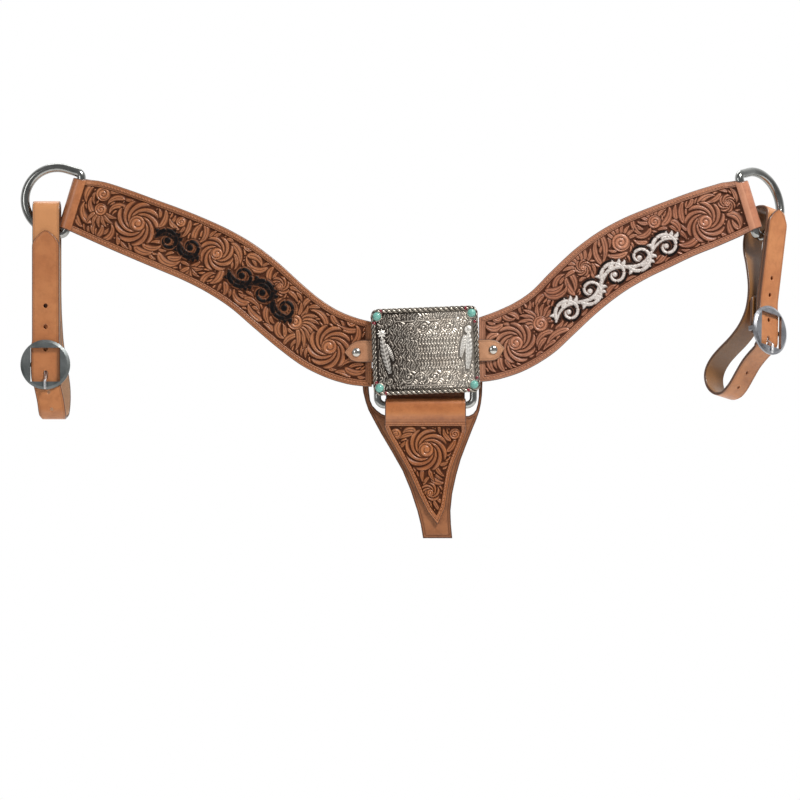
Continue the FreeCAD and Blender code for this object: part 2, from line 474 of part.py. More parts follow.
for side in ("left", "right"):
    sp = SPEC[side]
    bn, bz = sp["bar"]
    lean = sp["lean"]

    def loc(n, z):
        """A point given relative to the buckle bar, in the strap's (front, up) directions."""
        q = rot2((n, z), -lean)
        return (bn + q[0], bz + q[1])

    base, rot = PLACE[side]
    place = FreeCAD.Placement(base, rot)
    if side == "left":
        pts = [loc(-WR, 44.0), loc(-WR, -WR), loc(WR, -WR), (8.2, 23.9), (-8.4, 23.9), (-8.4, -180.8), (11.3, -180.8), (11.3, -3.2)]
        rad = [WR - 0.01, WR - 0.01, 8.2, 8.2, 9.6, 9.6]
        tip = (11.3, -3.2)
        up_dir = (0.0, 1.0)
    else:
        m1 = loc(WR, 30.0)
        b1 = loc(WR + GAP, 30.0)
        # front runs of the middle layer and of the billet, converging on the dee
        pts = [loc(-WR, 34.0), loc(-WR, -WR), loc(WR, -WR), m1, (7.6, 24.0), (-11.0, 24.0), (-12.5, -30.0), (-12.5, -99.0), (-43.0, -118.0),
               (-40.0, -147.0), (-26.0, -160.0), (-4.0, -152.0), loc(WR + GAP, -30.0), b1, (10.6, 23.0)]
        rad = [WR - 0.01, WR - 0.01, 60.0, 8.2, 8.2, 200.0, 16.0, 15.0, 9.0, 10.0, 11.0, 24.0, 60.0]
        tip = (10.6, 23.0)
        d = (tip[0] - b1[0], tip[1] - b1[1])
        ll = math.hypot(*d)
        up_dir = (d[0] / ll, d[1] / ll)
    # the profile is drawn with Y to the back, so the front distance changes sign
    prof = [(-p[0], p[1]) for p in pts]
    strip = body_pad(side + "_tug_strip", "YZ_Plane", ribbon(prof, rad, S["tug_thick"]), "Sizes.tug_width", mid=True)
    tools = []
    # pointed end of the billet
    ang = math.degrees(math.atan2(up_dir[0], up_dir[1]))
    for j, sgn in enumerate((-1, 1)):
        q = FreeCAD.Rotation(V(1, 0, 0), ang).multiply(FreeCAD.Rotation(V(0, 1, 0), sgn * 43.0))
        box = prim("Box", "%s_tug_point%d" % (side, j), Length=30, Width=3.1, Height=30)
        corner = q.multVec(V(-30 if sgn < 0 else 0, 0, 0))
        box.Placement = FreeCAD.Placement(V(0, -tip[0], tip[1]) + FreeCAD.Rotation(V(1, 0, 0), ang).multVec(V(0, -1.55, -1.2)) + q.multVec(V(-30 if sgn < 0 else 0, 0, 0)), q)
        tools.append(box)
    qx = FreeCAD.Rotation(V(1, 0, 0), ang)
    tools.append(prim("Box", side + "_tug_point_end", FreeCAD.Placement(V(0, -tip[0], tip[1]) + qx.multVec(V(-4, -1.55, -1.2)), qx), Length=8, Width=3.1, Height=5))
    # slot for the tongue in the wrap, and the hole that the tongue passes
    q = FreeCAD.Rotation(V(1, 0, 0), lean)

    def lplace(x, n, z, extra=None):
        c = loc(n, z)
        r_ = q.multiply(extra) if extra else q
        return FreeCAD.Placement(V(x, -c[0], c[1]), r_)

    tools.append(prim("Box", side + "_tug_slot", lplace(-2.7, 5.05, -6.4), Length=5.4, Width=10.1, Height=12.6))
    tools.append(prim("Box", side + "_tug_tongue_hole", lplace(-2.4, 8.2, -14.6), Length=4.8, Width=3.1, Height=8.8))
    # punched holes up and down the billet
    if side == "left":
        spots = [(11.3, z, 0.0) for z in (-74.5, -94.4, -115.5, -156.2)]
    else:
        spots = []
        for dist in (16.0, 37.0):
            c = loc(WR + GAP, dist)
            spots.append((c[0], c[1], lean))
        for dist in (22.0, 42.0):
            spots.append((b1[0] + up_dir[0] * dist, b1[1] + up_dir[1] * dist, ang))
    for j, (n_, z_, a_) in enumerate(spots):
        q2 = FreeCAD.Rotation(V(1, 0, 0), a_)
        off = q2.multVec(V(0, -1.5, 0))
        tools.append(prim("Cylinder", "%s_tug_hole%d" % (side, j), FreeCAD.Placement(V(0, -n_, z_) + off, q2.multiply(FreeCAD.Rotation(V(1, 0, 0), -90))), Radius="Sizes.tug_hole", Height=3.0))
    # hole for the chape screw through the return and the middle layer
    sz_ = 33.0 if side == "left" else 24.0
    tools.append(prim("Cylinder", side + "_tug_screw_hole", lplace(0, 5.1, sz_, FreeCAD.Rotation(V(1, 0, 0), -90)), Radius="Sizes.screw_barrel + 0.1", Height=10.6))
    strap = cut(side + "_tug_strap", strip, fuse(side + "_tug_tools", tools, False))
    strap.Placement = place
    add(strap, side + "_tug_strap")
    # chape screw: flat head under the billet, post from the back
    hdp = prim("Cylinder", side + "_chape_head", lplace(0, WR - 1.4 - 0.05, sz_, FreeCAD.Rotation(V(1, 0, 0), -90)), Radius=3.6, Height=0.9)
    stp = prim("Cylinder", side + "_chape_stud", lplace(0, WR - 1.6, sz_, FreeCAD.Rotation(V(1, 0, 0), -90)), Radius="Sizes.screw_stud", Height=2.0 * WR - 2.6 + 1.2)
    sc = fuse(side + "_chape_screw_sum", [hdp, stp])
    fl = prim("Cylinder", side + "_chape_flange", lplace(0, -WR - 1.4 - 0.05, sz_, FreeCAD.Rotation(V(1, 0, 0), -90)), Radius=4.2, Height=0.8)
    ba = prim("Cylinder", side + "_chape_barrel", lplace(0, WR - 2.6, sz_, FreeCAD.Rotation(V(1, 0, 0), -90)), Radius="Sizes.screw_barrel", Height=2.0 * WR - 1.0)
    bo = prim("Cylinder", side + "_chape_bore", lplace(0, WR, sz_, FreeCAD.Rotation(V(1, 0, 0), -90)), Radius="Sizes.screw_stud + 0.05", Height=2.0 * WR + 1.4 - 0.2)
    post = cut(side + "_tug_screw_post", fuse(side + "_chape_post_sum", [fl, ba]), bo)
    sc.Placement = place
    post.Placement = place
    add(sc, side + "_tug_screw")
    add(post, side + "_tug_screw_post")
    # buckle frame: a round flat rim in front of the billet, the bar behind it
    rb0 = WR + GAP + S["tug_thick"] / 2 + 0.2
    rimf = rb0 + 3.2
    disc = prim("Cylinder", side + "_rim_disc", lplace(0, rb0, 0, FreeCAD.Rotation(V(1, 0, 0), 90)), Radius="Sizes.buckle_outer", Height=1.8)
    bev = prim("Cone", side + "_rim_bevel", lplace(0, rb0 + 1.8, 0, FreeCAD.Rotation(V(1, 0, 0), 90)), Radius1="Sizes.buckle_outer", Radius2="Sizes.buckle_outer - 2.5", Height=1.4)
    win = prim("Box", side + "_rim_window", lplace(-S["buckle_window_wide"] / 2, rimf + 1, -S["buckle_window_tall"] / 2), Length="Sizes.buckle_window_wide", Width=7, Height="Sizes.buckle_window_tall")
    rim = cut(side + "_rim", fuse(side + "_rim_sum", [disc, bev]), win)
    barc = prim("Cylinder", side + "_buckle_bar", lplace(-17.6, 0, 0, FreeCAD.Rotation(V(0, 1, 0), 90)), Radius="Sizes.buckle_bar", Height=35.2)
    legs = [prim("Box", "%s_buckle_leg%d" % (side, j), lplace(x, rb0 + 0.5, -2.0), Length=3.2, Width=rb0 + 2.5, Height=4.0) for j, x in enumerate((-17.6, 14.4))]
    frame = fuse(side + "_tug_buckle_frame", [rim, barc] + legs)
    frame.Placement = place
    add(frame, side + "_tug_buckle_frame")
    # tongue: an eye round the bar and a bent prong that lies over the lower rim
    eye = prim("Cylinder", side + "_tongue_eye", lplace(-2.2, 0, 0, FreeCAD.Rotation(V(0, 1, 0), 90)), Radius=4.3, Height=4.4)
    hole = prim("Cylinder", side + "_tongue_bore", lplace(-4, 0, 0, FreeCAD.Rotation(V(0, 1, 0), 90)), Radius="Sizes.buckle_bar + 0.08", Height=8)
    pr = S["prong_wire"]
    way = [(1.6, -3.2), (4.2, -8.2), (rimf + pr + 0.15, -15.0), (rimf + pr + 0.15, -21.6)]
    pcs = []
    for j in range(len(way) - 1):
        p, r2 = way[j], way[j + 1]
        ln = math.hypot(r2[0] - p[0], r2[1] - p[1])
        dirv = V(0, -(r2[0] - p[0]) / ln, (r2[1] - p[1]) / ln)
        c = loc(*p)
        qq = q.multiply(FreeCAD.Rotation(V(0, 0, 1), dirv))
        pcs.append(prim("Cylinder", "%s_prong%d" % (side, j), FreeCAD.Placement(V(0, -c[0], c[1]), qq), Radius="Sizes.prong_wire", Height=ln))
        c2 = loc(*r2)
        pcs.append(prim("Sphere", "%s_prong_bend%d" % (side, j), FreeCAD.Placement(V(0, -c2[0], c2[1]), q), Radius="Sizes.prong_wire"))
    tongue = cut(side + "_tug_buckle_tongue", fuse(side + "_tongue_sum", [eye] + pcs), hole)
    tongue.Placement = place
    add(tongue, side + "_tug_buckle_tongue")

doc.recompute()

bad = [x.Name for x in doc.Objects if any(s in ("Invalid", "Error") for s in x.State)]
if bad:
    raise RuntimeError("failed objects: %s" % bad)
os.makedirs("parts", exist_ok=True)
seen = set()
for obj in parts:
    sh = obj.Shape
    if sh.isNull() or not sh.isValid() or not sh.Solids:
        raise RuntimeError("bad shape: " + obj.Label)
    if obj.Label in seen:
        raise RuntimeError("two parts named " + obj.Label)
    seen.add(obj.Label)
    sh.exportStep("parts/%s.step" % obj.Label)
    bb = sh.BoundBox
    print("%-26s solids %d vol %.1f  x %.1f..%.1f y %.1f..%.1f z %.1f..%.1f" % (obj.Label, len(sh.Solids), sh.Volume, bb.XMin, bb.XMax, bb.YMin, bb.YMax, bb.ZMin, bb.ZMax))
for side in ("left", "right"):
    sp = SPEC[side]
    base, rot = PLACE[side]
    q = base + rot.multVec(V(0, -sp["bar"][0], sp["bar"][1]))
    print(side, "tug pivot", [round(c, 3) for c in base], "axis", [round(c, 5) for c in rot.multVec(V(1, 0, 0))], "buckle bar", [round(c, 3) for c in q])
    cen, u, o, half = BAR[side]
    print(side, "dee axis", [round(c, 5) for c in u])
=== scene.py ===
import math
import bmesh
import bpy
import numpy as np
from mathutils import Vector, Matrix


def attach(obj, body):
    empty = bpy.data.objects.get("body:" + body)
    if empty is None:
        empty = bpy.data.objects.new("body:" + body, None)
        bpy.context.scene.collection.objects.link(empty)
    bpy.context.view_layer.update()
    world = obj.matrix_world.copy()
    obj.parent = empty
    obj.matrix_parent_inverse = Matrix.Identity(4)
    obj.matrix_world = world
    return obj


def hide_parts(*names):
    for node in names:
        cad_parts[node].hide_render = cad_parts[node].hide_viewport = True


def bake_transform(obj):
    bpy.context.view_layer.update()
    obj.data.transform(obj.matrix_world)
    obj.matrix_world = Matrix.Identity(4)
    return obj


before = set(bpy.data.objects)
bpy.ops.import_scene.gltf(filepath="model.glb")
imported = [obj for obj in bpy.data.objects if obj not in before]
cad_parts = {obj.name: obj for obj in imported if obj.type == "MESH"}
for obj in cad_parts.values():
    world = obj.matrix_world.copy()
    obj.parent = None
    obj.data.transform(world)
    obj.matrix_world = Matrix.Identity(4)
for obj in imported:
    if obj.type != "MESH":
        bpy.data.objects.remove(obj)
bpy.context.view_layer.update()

rng = np.random.default_rng(20)
MM = 0.001


# ------------------------------------------------------------------ small helpers
def srgb(r, g, b):
    return tuple(((c / 255.0) / 12.92 if c / 255.0 <= 0.04045 else ((c / 255.0 + 0.055) / 1.055) ** 2.4) for c in (r, g, b))


def make_object(name, verts, faces, smooth=True):
    """verts in mm (N,3), faces a list or array of quads or triangles."""
    me = bpy.data.meshes.new(name)
    v = np.asarray(verts, float) * MM
    if isinstance(faces, np.ndarray):
        me.vertices.add(len(v))
        me.vertices.foreach_set("co", v.astype(np.float32).ravel())
        n, k = faces.shape
        me.loops.add(n * k)
        me.loops.foreach_set("vertex_index", faces.astype(np.int32).ravel())
        me.polygons.add(n)
        me.polygons.foreach_set("loop_start", np.arange(0, n * k, k, dtype=np.int32))
        me.polygons.foreach_set("loop_total", np.full(n, k, dtype=np.int32))
        me.update(calc_edges=True)
        me.validate()
    else:
        me.from_pydata([tuple(p) for p in v], [], [tuple(int(i) for i in f) for f in faces])
        me.update()
    if smooth:
        me.polygons.foreach_set("use_smooth", [True] * len(me.polygons))
    ob = bpy.data.objects.new(name, me)
    bpy.context.scene.collection.objects.link(ob)
    return ob


def fix_normals(ob):
    bm = bmesh.new()
    bm.from_mesh(ob.data)
    bmesh.ops.recalc_face_normals(bm, faces=bm.faces)
    bm.to_mesh(ob.data)
    bm.free()
    return ob


def set_attr(ob, name, values):
    """One number for each vertex."""
    a = ob.data.attributes.new(name, "FLOAT", "POINT")
    a.data.foreach_set("value", np.asarray(values, np.float32).ravel())


class Mesh:
    """Collects pieces of mesh that belong to one object."""

    def __init__(self):
        self.v, self.f, self.n, self.a = [], [], 0, []

    def add(self, verts, faces, attr=0.0):
        verts = np.asarray(verts, float)
        self.v.append(verts)
        self.f += [tuple(int(i) + self.n for i in f) for f in faces]
        self.a.append(np.broadcast_to(np.asarray(attr, float), (len(verts),)))
        self.n += len(verts)

    def build(self, name, attr=None):
        ob = make_object(name, np.concatenate(self.v), self.f)
        if attr:
            set_attr(ob, attr, np.concatenate(self.a))
        return fix_normals(ob)


def grid_faces(nu, nv, wrap_u=False, wrap_v=False):
    f = []
    for i in range(nu if wrap_u else nu - 1):
        i2 = (i + 1) % nu
        for j in range(nv if wrap_v else nv - 1):
            j2 = (j + 1) % nv
            f.append((i * nv + j, i2 * nv + j, i2 * nv + j2, i * nv + j2))
    return f


def resample(pts, n):
    pts = np.asarray(pts, float)
    d = np.r_[0, np.cumsum(np.linalg.norm(np.diff(pts, axis=0), axis=1))]
    t = np.linspace(0, d[-1], n)
    return np.stack([np.interp(t, d, pts[:, k]) for k in range(pts.shape[1])], 1)


def smooth_curve(pts, n=200):
    """Catmull-Rom curve through the points, evenly resampled."""
    p = np.asarray(pts, float)
    p = np.vstack([2 * p[0] - p[1], p, 2 * p[-1] - p[-2]])
    out = []
    for i in range(1, len(p) - 2):
        t = np.linspace(0, 1, 24, endpoint=False)[:, None]
        a, b, c, d = p[i - 1], p[i], p[i + 1], p[i + 2]
        out.append(0.5 * ((2 * b) + (-a + c) * t + (2 * a - 5 * b + 4 * c - d) * t ** 2 + (-a + 3 * b - 3 * c + d) * t ** 3))
    out.append(p[-2][None, :])
    return resample(np.concatenate(out), n)


def frames(path, up):
    """Tangents and two normals along a path; up is kept as close as can be."""
    t = np.gradient(path, axis=0)
    t /= np.linalg.norm(t, axis=1)[:, None]
    up = np.broadcast_to(np.asarray(up, float), path.shape)
    s = np.cross(t, up)
    s /= np.linalg.norm(s, axis=1)[:, None]
    n = np.cross(s, t)
    return t, s, n


def tube(mesh, path, radius, sides=12, closed=False, caps=True, up=(0, 1, 0), attr=0.0):
    path = np.asarray(path, float)
    n = len(path)
    if closed:
        t = np.roll(path, -1, 0) - np.roll(path, 1, 0)
    else:
        t = np.gradient(path, axis=0)
    t /= np.linalg.norm(t, axis=1)[:, None]
    # parallel transport
    u = np.array(up, float)
    u = u - t[0] * (u @ t[0])
    if np.linalg.norm(u) < 1e-6:
        u = np.array([1.0, 0.3, 0.2])
        u = u - t[0] * (u @ t[0])
    u /= np.linalg.norm(u)
    us = []
    for i in range(n):
        u = u - t[i] * (u @ t[i])
        u /= np.linalg.norm(u)
        us.append(u)
    us = np.array(us)
    ws = np.cross(t, us)
    if closed:
        # take out the twist that has built up
        e = us[-1] - t[0] * (us[-1] @ t[0])
        e /= np.linalg.norm(e)
        ang = math.atan2(e @ ws[0], e @ us[0])
        k = np.linspace(0, 1, n)[:, None] * -ang
        us, ws = us * np.cos(k) + ws * np.sin(k), -us * np.sin(k) + ws * np.cos(k)
    a = np.linspace(0, 2 * math.pi, sides, endpoint=False)
    r = np.broadcast_to(np.asarray(radius, float), (n,))
    v = path[:, None, :] + r[:, None, None] * (np.cos(a)[None, :, None] * us[:, None, :] + np.sin(a)[None, :, None] * ws[:, None, :])
    v = v.reshape(-1, 3)
    f = grid_faces(n, sides, closed, True)
    if caps and not closed:
        v = np.vstack([v, path[0], path[-1]])
        c0, c1 = n * sides, n * sides + 1
        for j in range(sides):
            f.append((c0, (j + 1) % sides, j))
            f.append((c1, (n - 1) * sides + j, (n - 1) * sides + (j + 1) % sides))
    mesh.add(v, f, attr)


# ------------------------------------------------------------------ materials
class Nodes:
    def __init__(self, name):
        self.m = bpy.data.materials.new(name)
        self.m.use_nodes = True
        self.t = self.m.node_tree
        self.t.nodes.clear()
        self.out = self.n("ShaderNodeOutputMaterial")
        self.b = self.n("ShaderNodeBsdfPrincipled")
        self.t.links.new(self.b.outputs[0], self.out.inputs[0])

    def n(self, kind, **kw):
        x = self.t.nodes.new(kind)
        for k, v in kw.items():
            setattr(x, k, v)
        return x

    def link(self, a, b):
        self.t.links.new(a, b)

    def coords(self):
        return self.n("ShaderNodeTexCoord").outputs["Object"]

    def noise(self, scale, detail=4.0, rough=0.55, vec=None, dist=0.0):
        x = self.n("ShaderNodeTexNoise")
        x.inputs["Scale"].default_value = scale
        x.inputs["Detail"].default_value = detail
        x.inputs["Roughness"].default_value = rough
        x.inputs["Distortion"].default_value = dist
        self.link(vec if vec is not None else self.coords(), x.inputs["Vector"])
        return x.outputs["Fac"]

    def voronoi(self, scale, vec=None, feature="F1", out="Distance"):
        x = self.n("ShaderNodeTexVoronoi", feature=feature)
        x.inputs["Scale"].default_value = scale
        self.link(vec if vec is not None else self.coords(), x.inputs["Vector"])
        return x.outputs[out]

    def attr(self, name):
        return self.n("ShaderNodeAttribute", attribute_name=name).outputs["Fac"]

    def ramp(self, fac, stops, interp="LINEAR"):
        x = self.n("ShaderNodeValToRGB")
        x.color_ramp.interpolation = interp
        e = x.color_ramp.elements
        while len(e) < len(stops):
            e.new(0.5)
        for i, (p, c) in enumerate(stops):
            e[i].position = p
            e[i].color = (*c[:3], 1.0) if len(c) >= 3 else (c[0], c[0], c[0], 1.0)
        self.link(fac, x.inputs[0])
        return x.outputs[0]

    def scale(self, fac, lo, hi, a=0.0, b=1.0):
        x = self.n("ShaderNodeMapRange")
        x.inputs[1].default_value = lo
        x.inputs[2].default_value = hi
        x.inputs[3].default_value = a
        x.inputs[4].default_value = b
        self.link(fac, x.inputs[0])
        return x.outputs[0]

    def math(self, op, a, b=None):
        x = self.n("ShaderNodeMath", operation=op)
        for i, v in enumerate((a, b)):
            if v is None:
                continue
            if isinstance(v, (int, float)):
                x.inputs[i].default_value = v
            else:
                self.link(v, x.inputs[i])
        return x.outputs[0]

    def mix(self, fac, a, b, mode="MIX"):
        x = self.n("ShaderNodeMix", data_type="RGBA", blend_type=mode)
        for sock, v in ((x.inputs[0], fac), (x.inputs[6], a), (x.inputs[7], b)):
            if isinstance(v, (int, float)):
                sock.default_value = v if sock is x.inputs[0] or sock == x.inputs[0] else (v, v, v, 1.0)
            elif isinstance(v, tuple):
                sock.default_value = (*v[:3], 1.0)
            else:
                self.link(v, sock)
        return x.outputs[2]

    def set(self, name, v):
        s = self.b.inputs[name]
        if isinstance(v, (int, float)):
            s.default_value = v
        elif isinstance(v, tuple):
            s.default_value = (*v[:3], 1.0)
        else:
            self.link(v, s)

    def bump(self, height, dist=0.0004, strength=0.5, under=None):
        x = self.n("ShaderNodeBump")
        x.inputs["Strength"].default_value = strength
        x.inputs["Distance"].default_value = dist
        self.link(height, x.inputs["Height"])
        if under is not None:
            self.link(under, x.inputs["Normal"])
        return x.outputs[0]


def leather(name, base, dark, pale, tooled=False, gloss=0.42, flesh=None):
    k = Nodes(name)
    big = k.noise(22.0, 3.0, 0.6)
    mid = k.noise(160.0, 5.0, 0.6)
    col = k.mix(k.scale(big, 0.3, 0.72), base, pale)
    col = k.mix(k.scale(mid, 0.42, 0.75, 0.0, 0.45), col, dark)
    pore = k.voronoi(1500.0)
    col = k.mix(k.scale(pore, 0.0, 0.32, 0.28, 0.0), col, dark)
    if tooled:
        # painted highlight: the tone_and_highlight attribute lightens the border beads, the folds over the dees and the
        # drop band; on the tugs it marks the paler run up to the dee
        col = k.mix(k.math("MULTIPLY", k.attr("tone_and_highlight"), 0.75), col, tuple(min(1.0, c * f) for c, f in zip(pale, (1.12, 1.24, 1.34))))
    if flesh is not None:
        back = k.attr("flesh")
        fib = k.noise(900.0, 6.0, 0.7)
        fl = k.mix(k.scale(fib, 0.3, 0.75), flesh, tuple(c * 0.72 for c in flesh))
        col = k.mix(back, col, fl)
    edge = k.attr("edge")
    col = k.mix(k.math("MULTIPLY", edge, 0.88), col, srgb(62, 36, 24))
    rough = k.scale(k.noise(420.0, 4.0), 0.3, 0.7, gloss - 0.06, gloss + 0.12)
    if tooled:
        dk = k.attr("dark")
        tint = k.noise(1100.0, 5.0, 0.7)
        deep = k.mix(k.scale(tint, 0.35, 0.7), srgb(44, 21, 13), srgb(76, 38, 23))
        col = k.mix(dk, col, deep)
        ink = k.attr("ink")
        col = k.mix(ink, col, k.mix(k.scale(k.noise(500.0, 4.0), 0.4, 0.75), srgb(8, 6, 8), srgb(24, 19, 18)))
        lite = k.attr("leaf")
        col = k.mix(lite, col, k.mix(k.scale(k.noise(600.0, 4.0), 0.35, 0.7), srgb(226, 219, 214), srgb(176, 166, 160)))
        rough = k.mix(k.math("MULTIPLY", dk, 0.8), rough, 0.62)
        rough = k.mix(ink, rough, 0.5)
    k.set("Base Color", col)
    k.set("Roughness", rough)
    k.set("Specular IOR Level", 0.45)
    grain = k.math("ADD", k.math("MULTIPLY", k.voronoi(1300.0), 0.6), k.math("MULTIPLY", k.noise(2600.0, 4.0), 0.4))
    k.set("Normal", k.bump(grain, 0.00018, 0.34))
    if tooled:
        mask = k.math("MAXIMUM", k.attr("dark"), k.attr("ink"))
        k.set("Coat Weight", k.scale(mask, 0.15, 0.6, 0.32, 0.0))
        k.set("Specular IOR Level", k.scale(mask, 0.2, 0.8, 0.5, 0.12))
    else:
        k.set("Coat Weight", 0.2)
    k.set("Coat Roughness", 0.24)
    k.set("Coat Normal", k.bump(grain, 0.00018, 0.2))
    return k.m


def metal(name, lo, hi, rough=0.2, scratch=0.5, dark=None, darkattr=None, vary=1.0):
    k = Nodes(name)
    n = k.noise(60.0, 4.0, 0.6)
    col = k.mix(k.scale(n, 0.3, 0.7), lo, hi)
    if darkattr:
        d = k.attr(darkattr)
        col = k.mix(d, col, dark)
    k.set("Base Color", col)
    k.set("Metallic", 1.0)
    r = k.scale(k.noise(300.0, 6.0, 0.65), 0.3, 0.75, max(0.04, rough - 0.06 * vary), rough + 0.14 * vary)
    if darkattr:
        r = k.mix(k.math("MULTIPLY", k.attr(darkattr), 0.8), r, 0.6)
    k.set("Roughness", r)
    k.set("Normal", k.bump(k.noise(1700.0, 3.0), 0.00004, 0.18 * scratch))
    return k.m


def stone(name, a, b, vein, rough=0.18):
    k = Nodes(name)
    n = k.noise(420.0, 5.0, 0.6)
    col = k.mix(k.scale(n, 0.35, 0.7), a, b)
    v = k.voronoi(520.0, feature="DISTANCE_TO_EDGE")
    col = k.mix(k.scale(v, 0.0, 0.05, 0.55, 0.0), col, vein)
    k.set("Base Color", col)
    k.set("Roughness", k.scale(k.noise(200.0), 0.3, 0.7, rough, rough + 0.15))
    k.set("Coat Weight", 0.4)
    k.set("Normal", k.bump(k.noise(900.0, 4.0), 0.0001, 0.2))
    return k.m


M_LEFT = leather("leather_left", srgb(168, 100, 58), srgb(122, 66, 36), srgb(190, 124, 80), tooled=True, gloss=0.36, flesh=srgb(176, 138, 100))
M_RIGHT = leather("leather_right", srgb(168, 104, 75), srgb(120, 66, 44), srgb(200, 138, 106), tooled=True, gloss=0.36, flesh=srgb(176, 138, 104))
M_DROP = leather("leather_drop", srgb(170, 100, 54), srgb(128, 68, 34), srgb(194, 124, 74), tooled=True, gloss=0.36, flesh=srgb(170, 128, 90))
# painted shade: the right tug's flesh side is given a darker colour than the same leather on the left tug (M_PLAIN_L),
# as if in shade
M_PLAIN = leather("leather_strap", srgb(180, 112, 66), srgb(146, 84, 46), srgb(200, 134, 84), gloss=0.36, flesh=srgb(142, 98, 54), tooled=True)
M_PLAIN_L = leather("leather_strap_left", srgb(180, 112, 66), srgb(146, 84, 46), srgb(200, 134, 84), gloss=0.36, flesh=srgb(192, 154, 124), tooled=True)
M_BAND = leather("leather_lining", srgb(148, 92, 56), srgb(112, 64, 36), srgb(170, 112, 72), gloss=0.42, flesh=srgb(172, 130, 92), tooled=True)
M_TAB = leather("leather_tab", srgb(176, 122, 88), srgb(140, 90, 60), srgb(200, 148, 112), gloss=0.38, flesh=srgb(176, 140, 106), tooled=True)


def thread_material(name, a, b):
    k = Nodes(name)
    w = k.n("ShaderNodeTexWave", wave_type="BANDS", bands_direction="DIAGONAL")
    w.inputs["Scale"].default_value = 900.0
    w.inputs["Distortion"].default_value = 2.0
    k.link(k.coords(), w.inputs["Vector"])
    k.set("Base Color", k.mix(k.scale(k.noise(300.0), 0.3, 0.7), a, b))
    k.set("Roughness", 0.72)
    k.set("Sheen Weight", 0.2)
    k.set("Normal", k.bump(w.outputs["Fac"], 0.0001, 0.5))
    return k.m


M_THREAD = thread_material("waxed_thread", srgb(158, 96, 62), srgb(190, 126, 86))
M_THREAD_PALE = thread_material("waxed_thread_pale", srgb(196, 140, 100), srgb(216, 168, 126))
M_CHROME = metal("dee_steel", srgb(140, 141, 138), srgb(178, 179, 176), rough=0.17, scratch=0.1, vary=0.2)
M_BUCKLE = metal("buckle_steel", srgb(140, 141, 146), srgb(190, 191, 196), rough=0.3)
# painted reflection: the left buckle frame is given darker steel than the right one, to stand for dark reflections
M_BUCKLE_L = metal("buckle_steel_left", srgb(96, 101, 101), srgb(134, 138, 138), rough=0.46)
M_TONGUE = metal("tongue_steel", srgb(196, 196, 198), srgb(226, 226, 228), rough=0.36)
M_SCREW = metal("screw_nickel", srgb(190, 186, 178), srgb(222, 220, 214), rough=0.16)
# the dark attribute is oxide in the hollows plus painted shade on the left of the plate
M_SILVER = metal("antique_silver", srgb(226, 214, 200), srgb(250, 242, 230), rough=0.36, dark=srgb(40, 31, 28), darkattr="dark")
M_ROPE = metal("oxidised_rope", srgb(150, 142, 132), srgb(188, 180, 168), rough=0.26, dark=srgb(30, 24, 22), darkattr="dark")
# the dark attribute on the plumes is oxide between the barbs plus painted shade on the left plumes
M_BRIGHT = metal("bright_silver", srgb(236, 230, 222), srgb(255, 252, 246), rough=0.42, dark=srgb(52, 42, 36), darkattr="dark")
M_TURQ = stone("turquoise", srgb(98, 172, 160), srgb(140, 202, 188), srgb(58, 84, 74))
M_GARNET = stone("garnet", srgb(110, 16, 34), srgb(150, 26, 46), srgb(60, 8, 18), rough=0.1)


# ------------------------------------------------------------------ tooled relief
def poly_dist(poly, X, Z):
    """Distance to a closed polygon, positive inside."""
    p = np.asarray(poly, float)
    q = np.roll(p, -1, 0)
    best = np.full(X.shape, 1e9)
    inside = np.zeros(X.shape, bool)
    for (x0, z0), (x1, z1) in zip(p, q):
        dx, dz = x1 - x0, z1 - z0
        l2 = dx * dx + dz * dz
        if l2 < 1e-12:
            continue
        t = np.clip(((X - x0) * dx + (Z - z0) * dz) / l2, 0, 1)
        np.minimum(best, (X - x0 - t * dx) ** 2 + (Z - z0 - t * dz) ** 2, out=best)
        if z0 != z1:
            cond = (z0 > Z) != (z1 > Z)
            inside ^= cond & (X < (x1 - x0) * (Z - z0) / (z1 - z0) + x0)
    d = np.sqrt(best)
    return np.where(inside, d, -d)


def sstep(x, a, b):
    t = np.clip((x - a) / (b - a), 0, 1)
    return t * t * (3 - 2 * t)


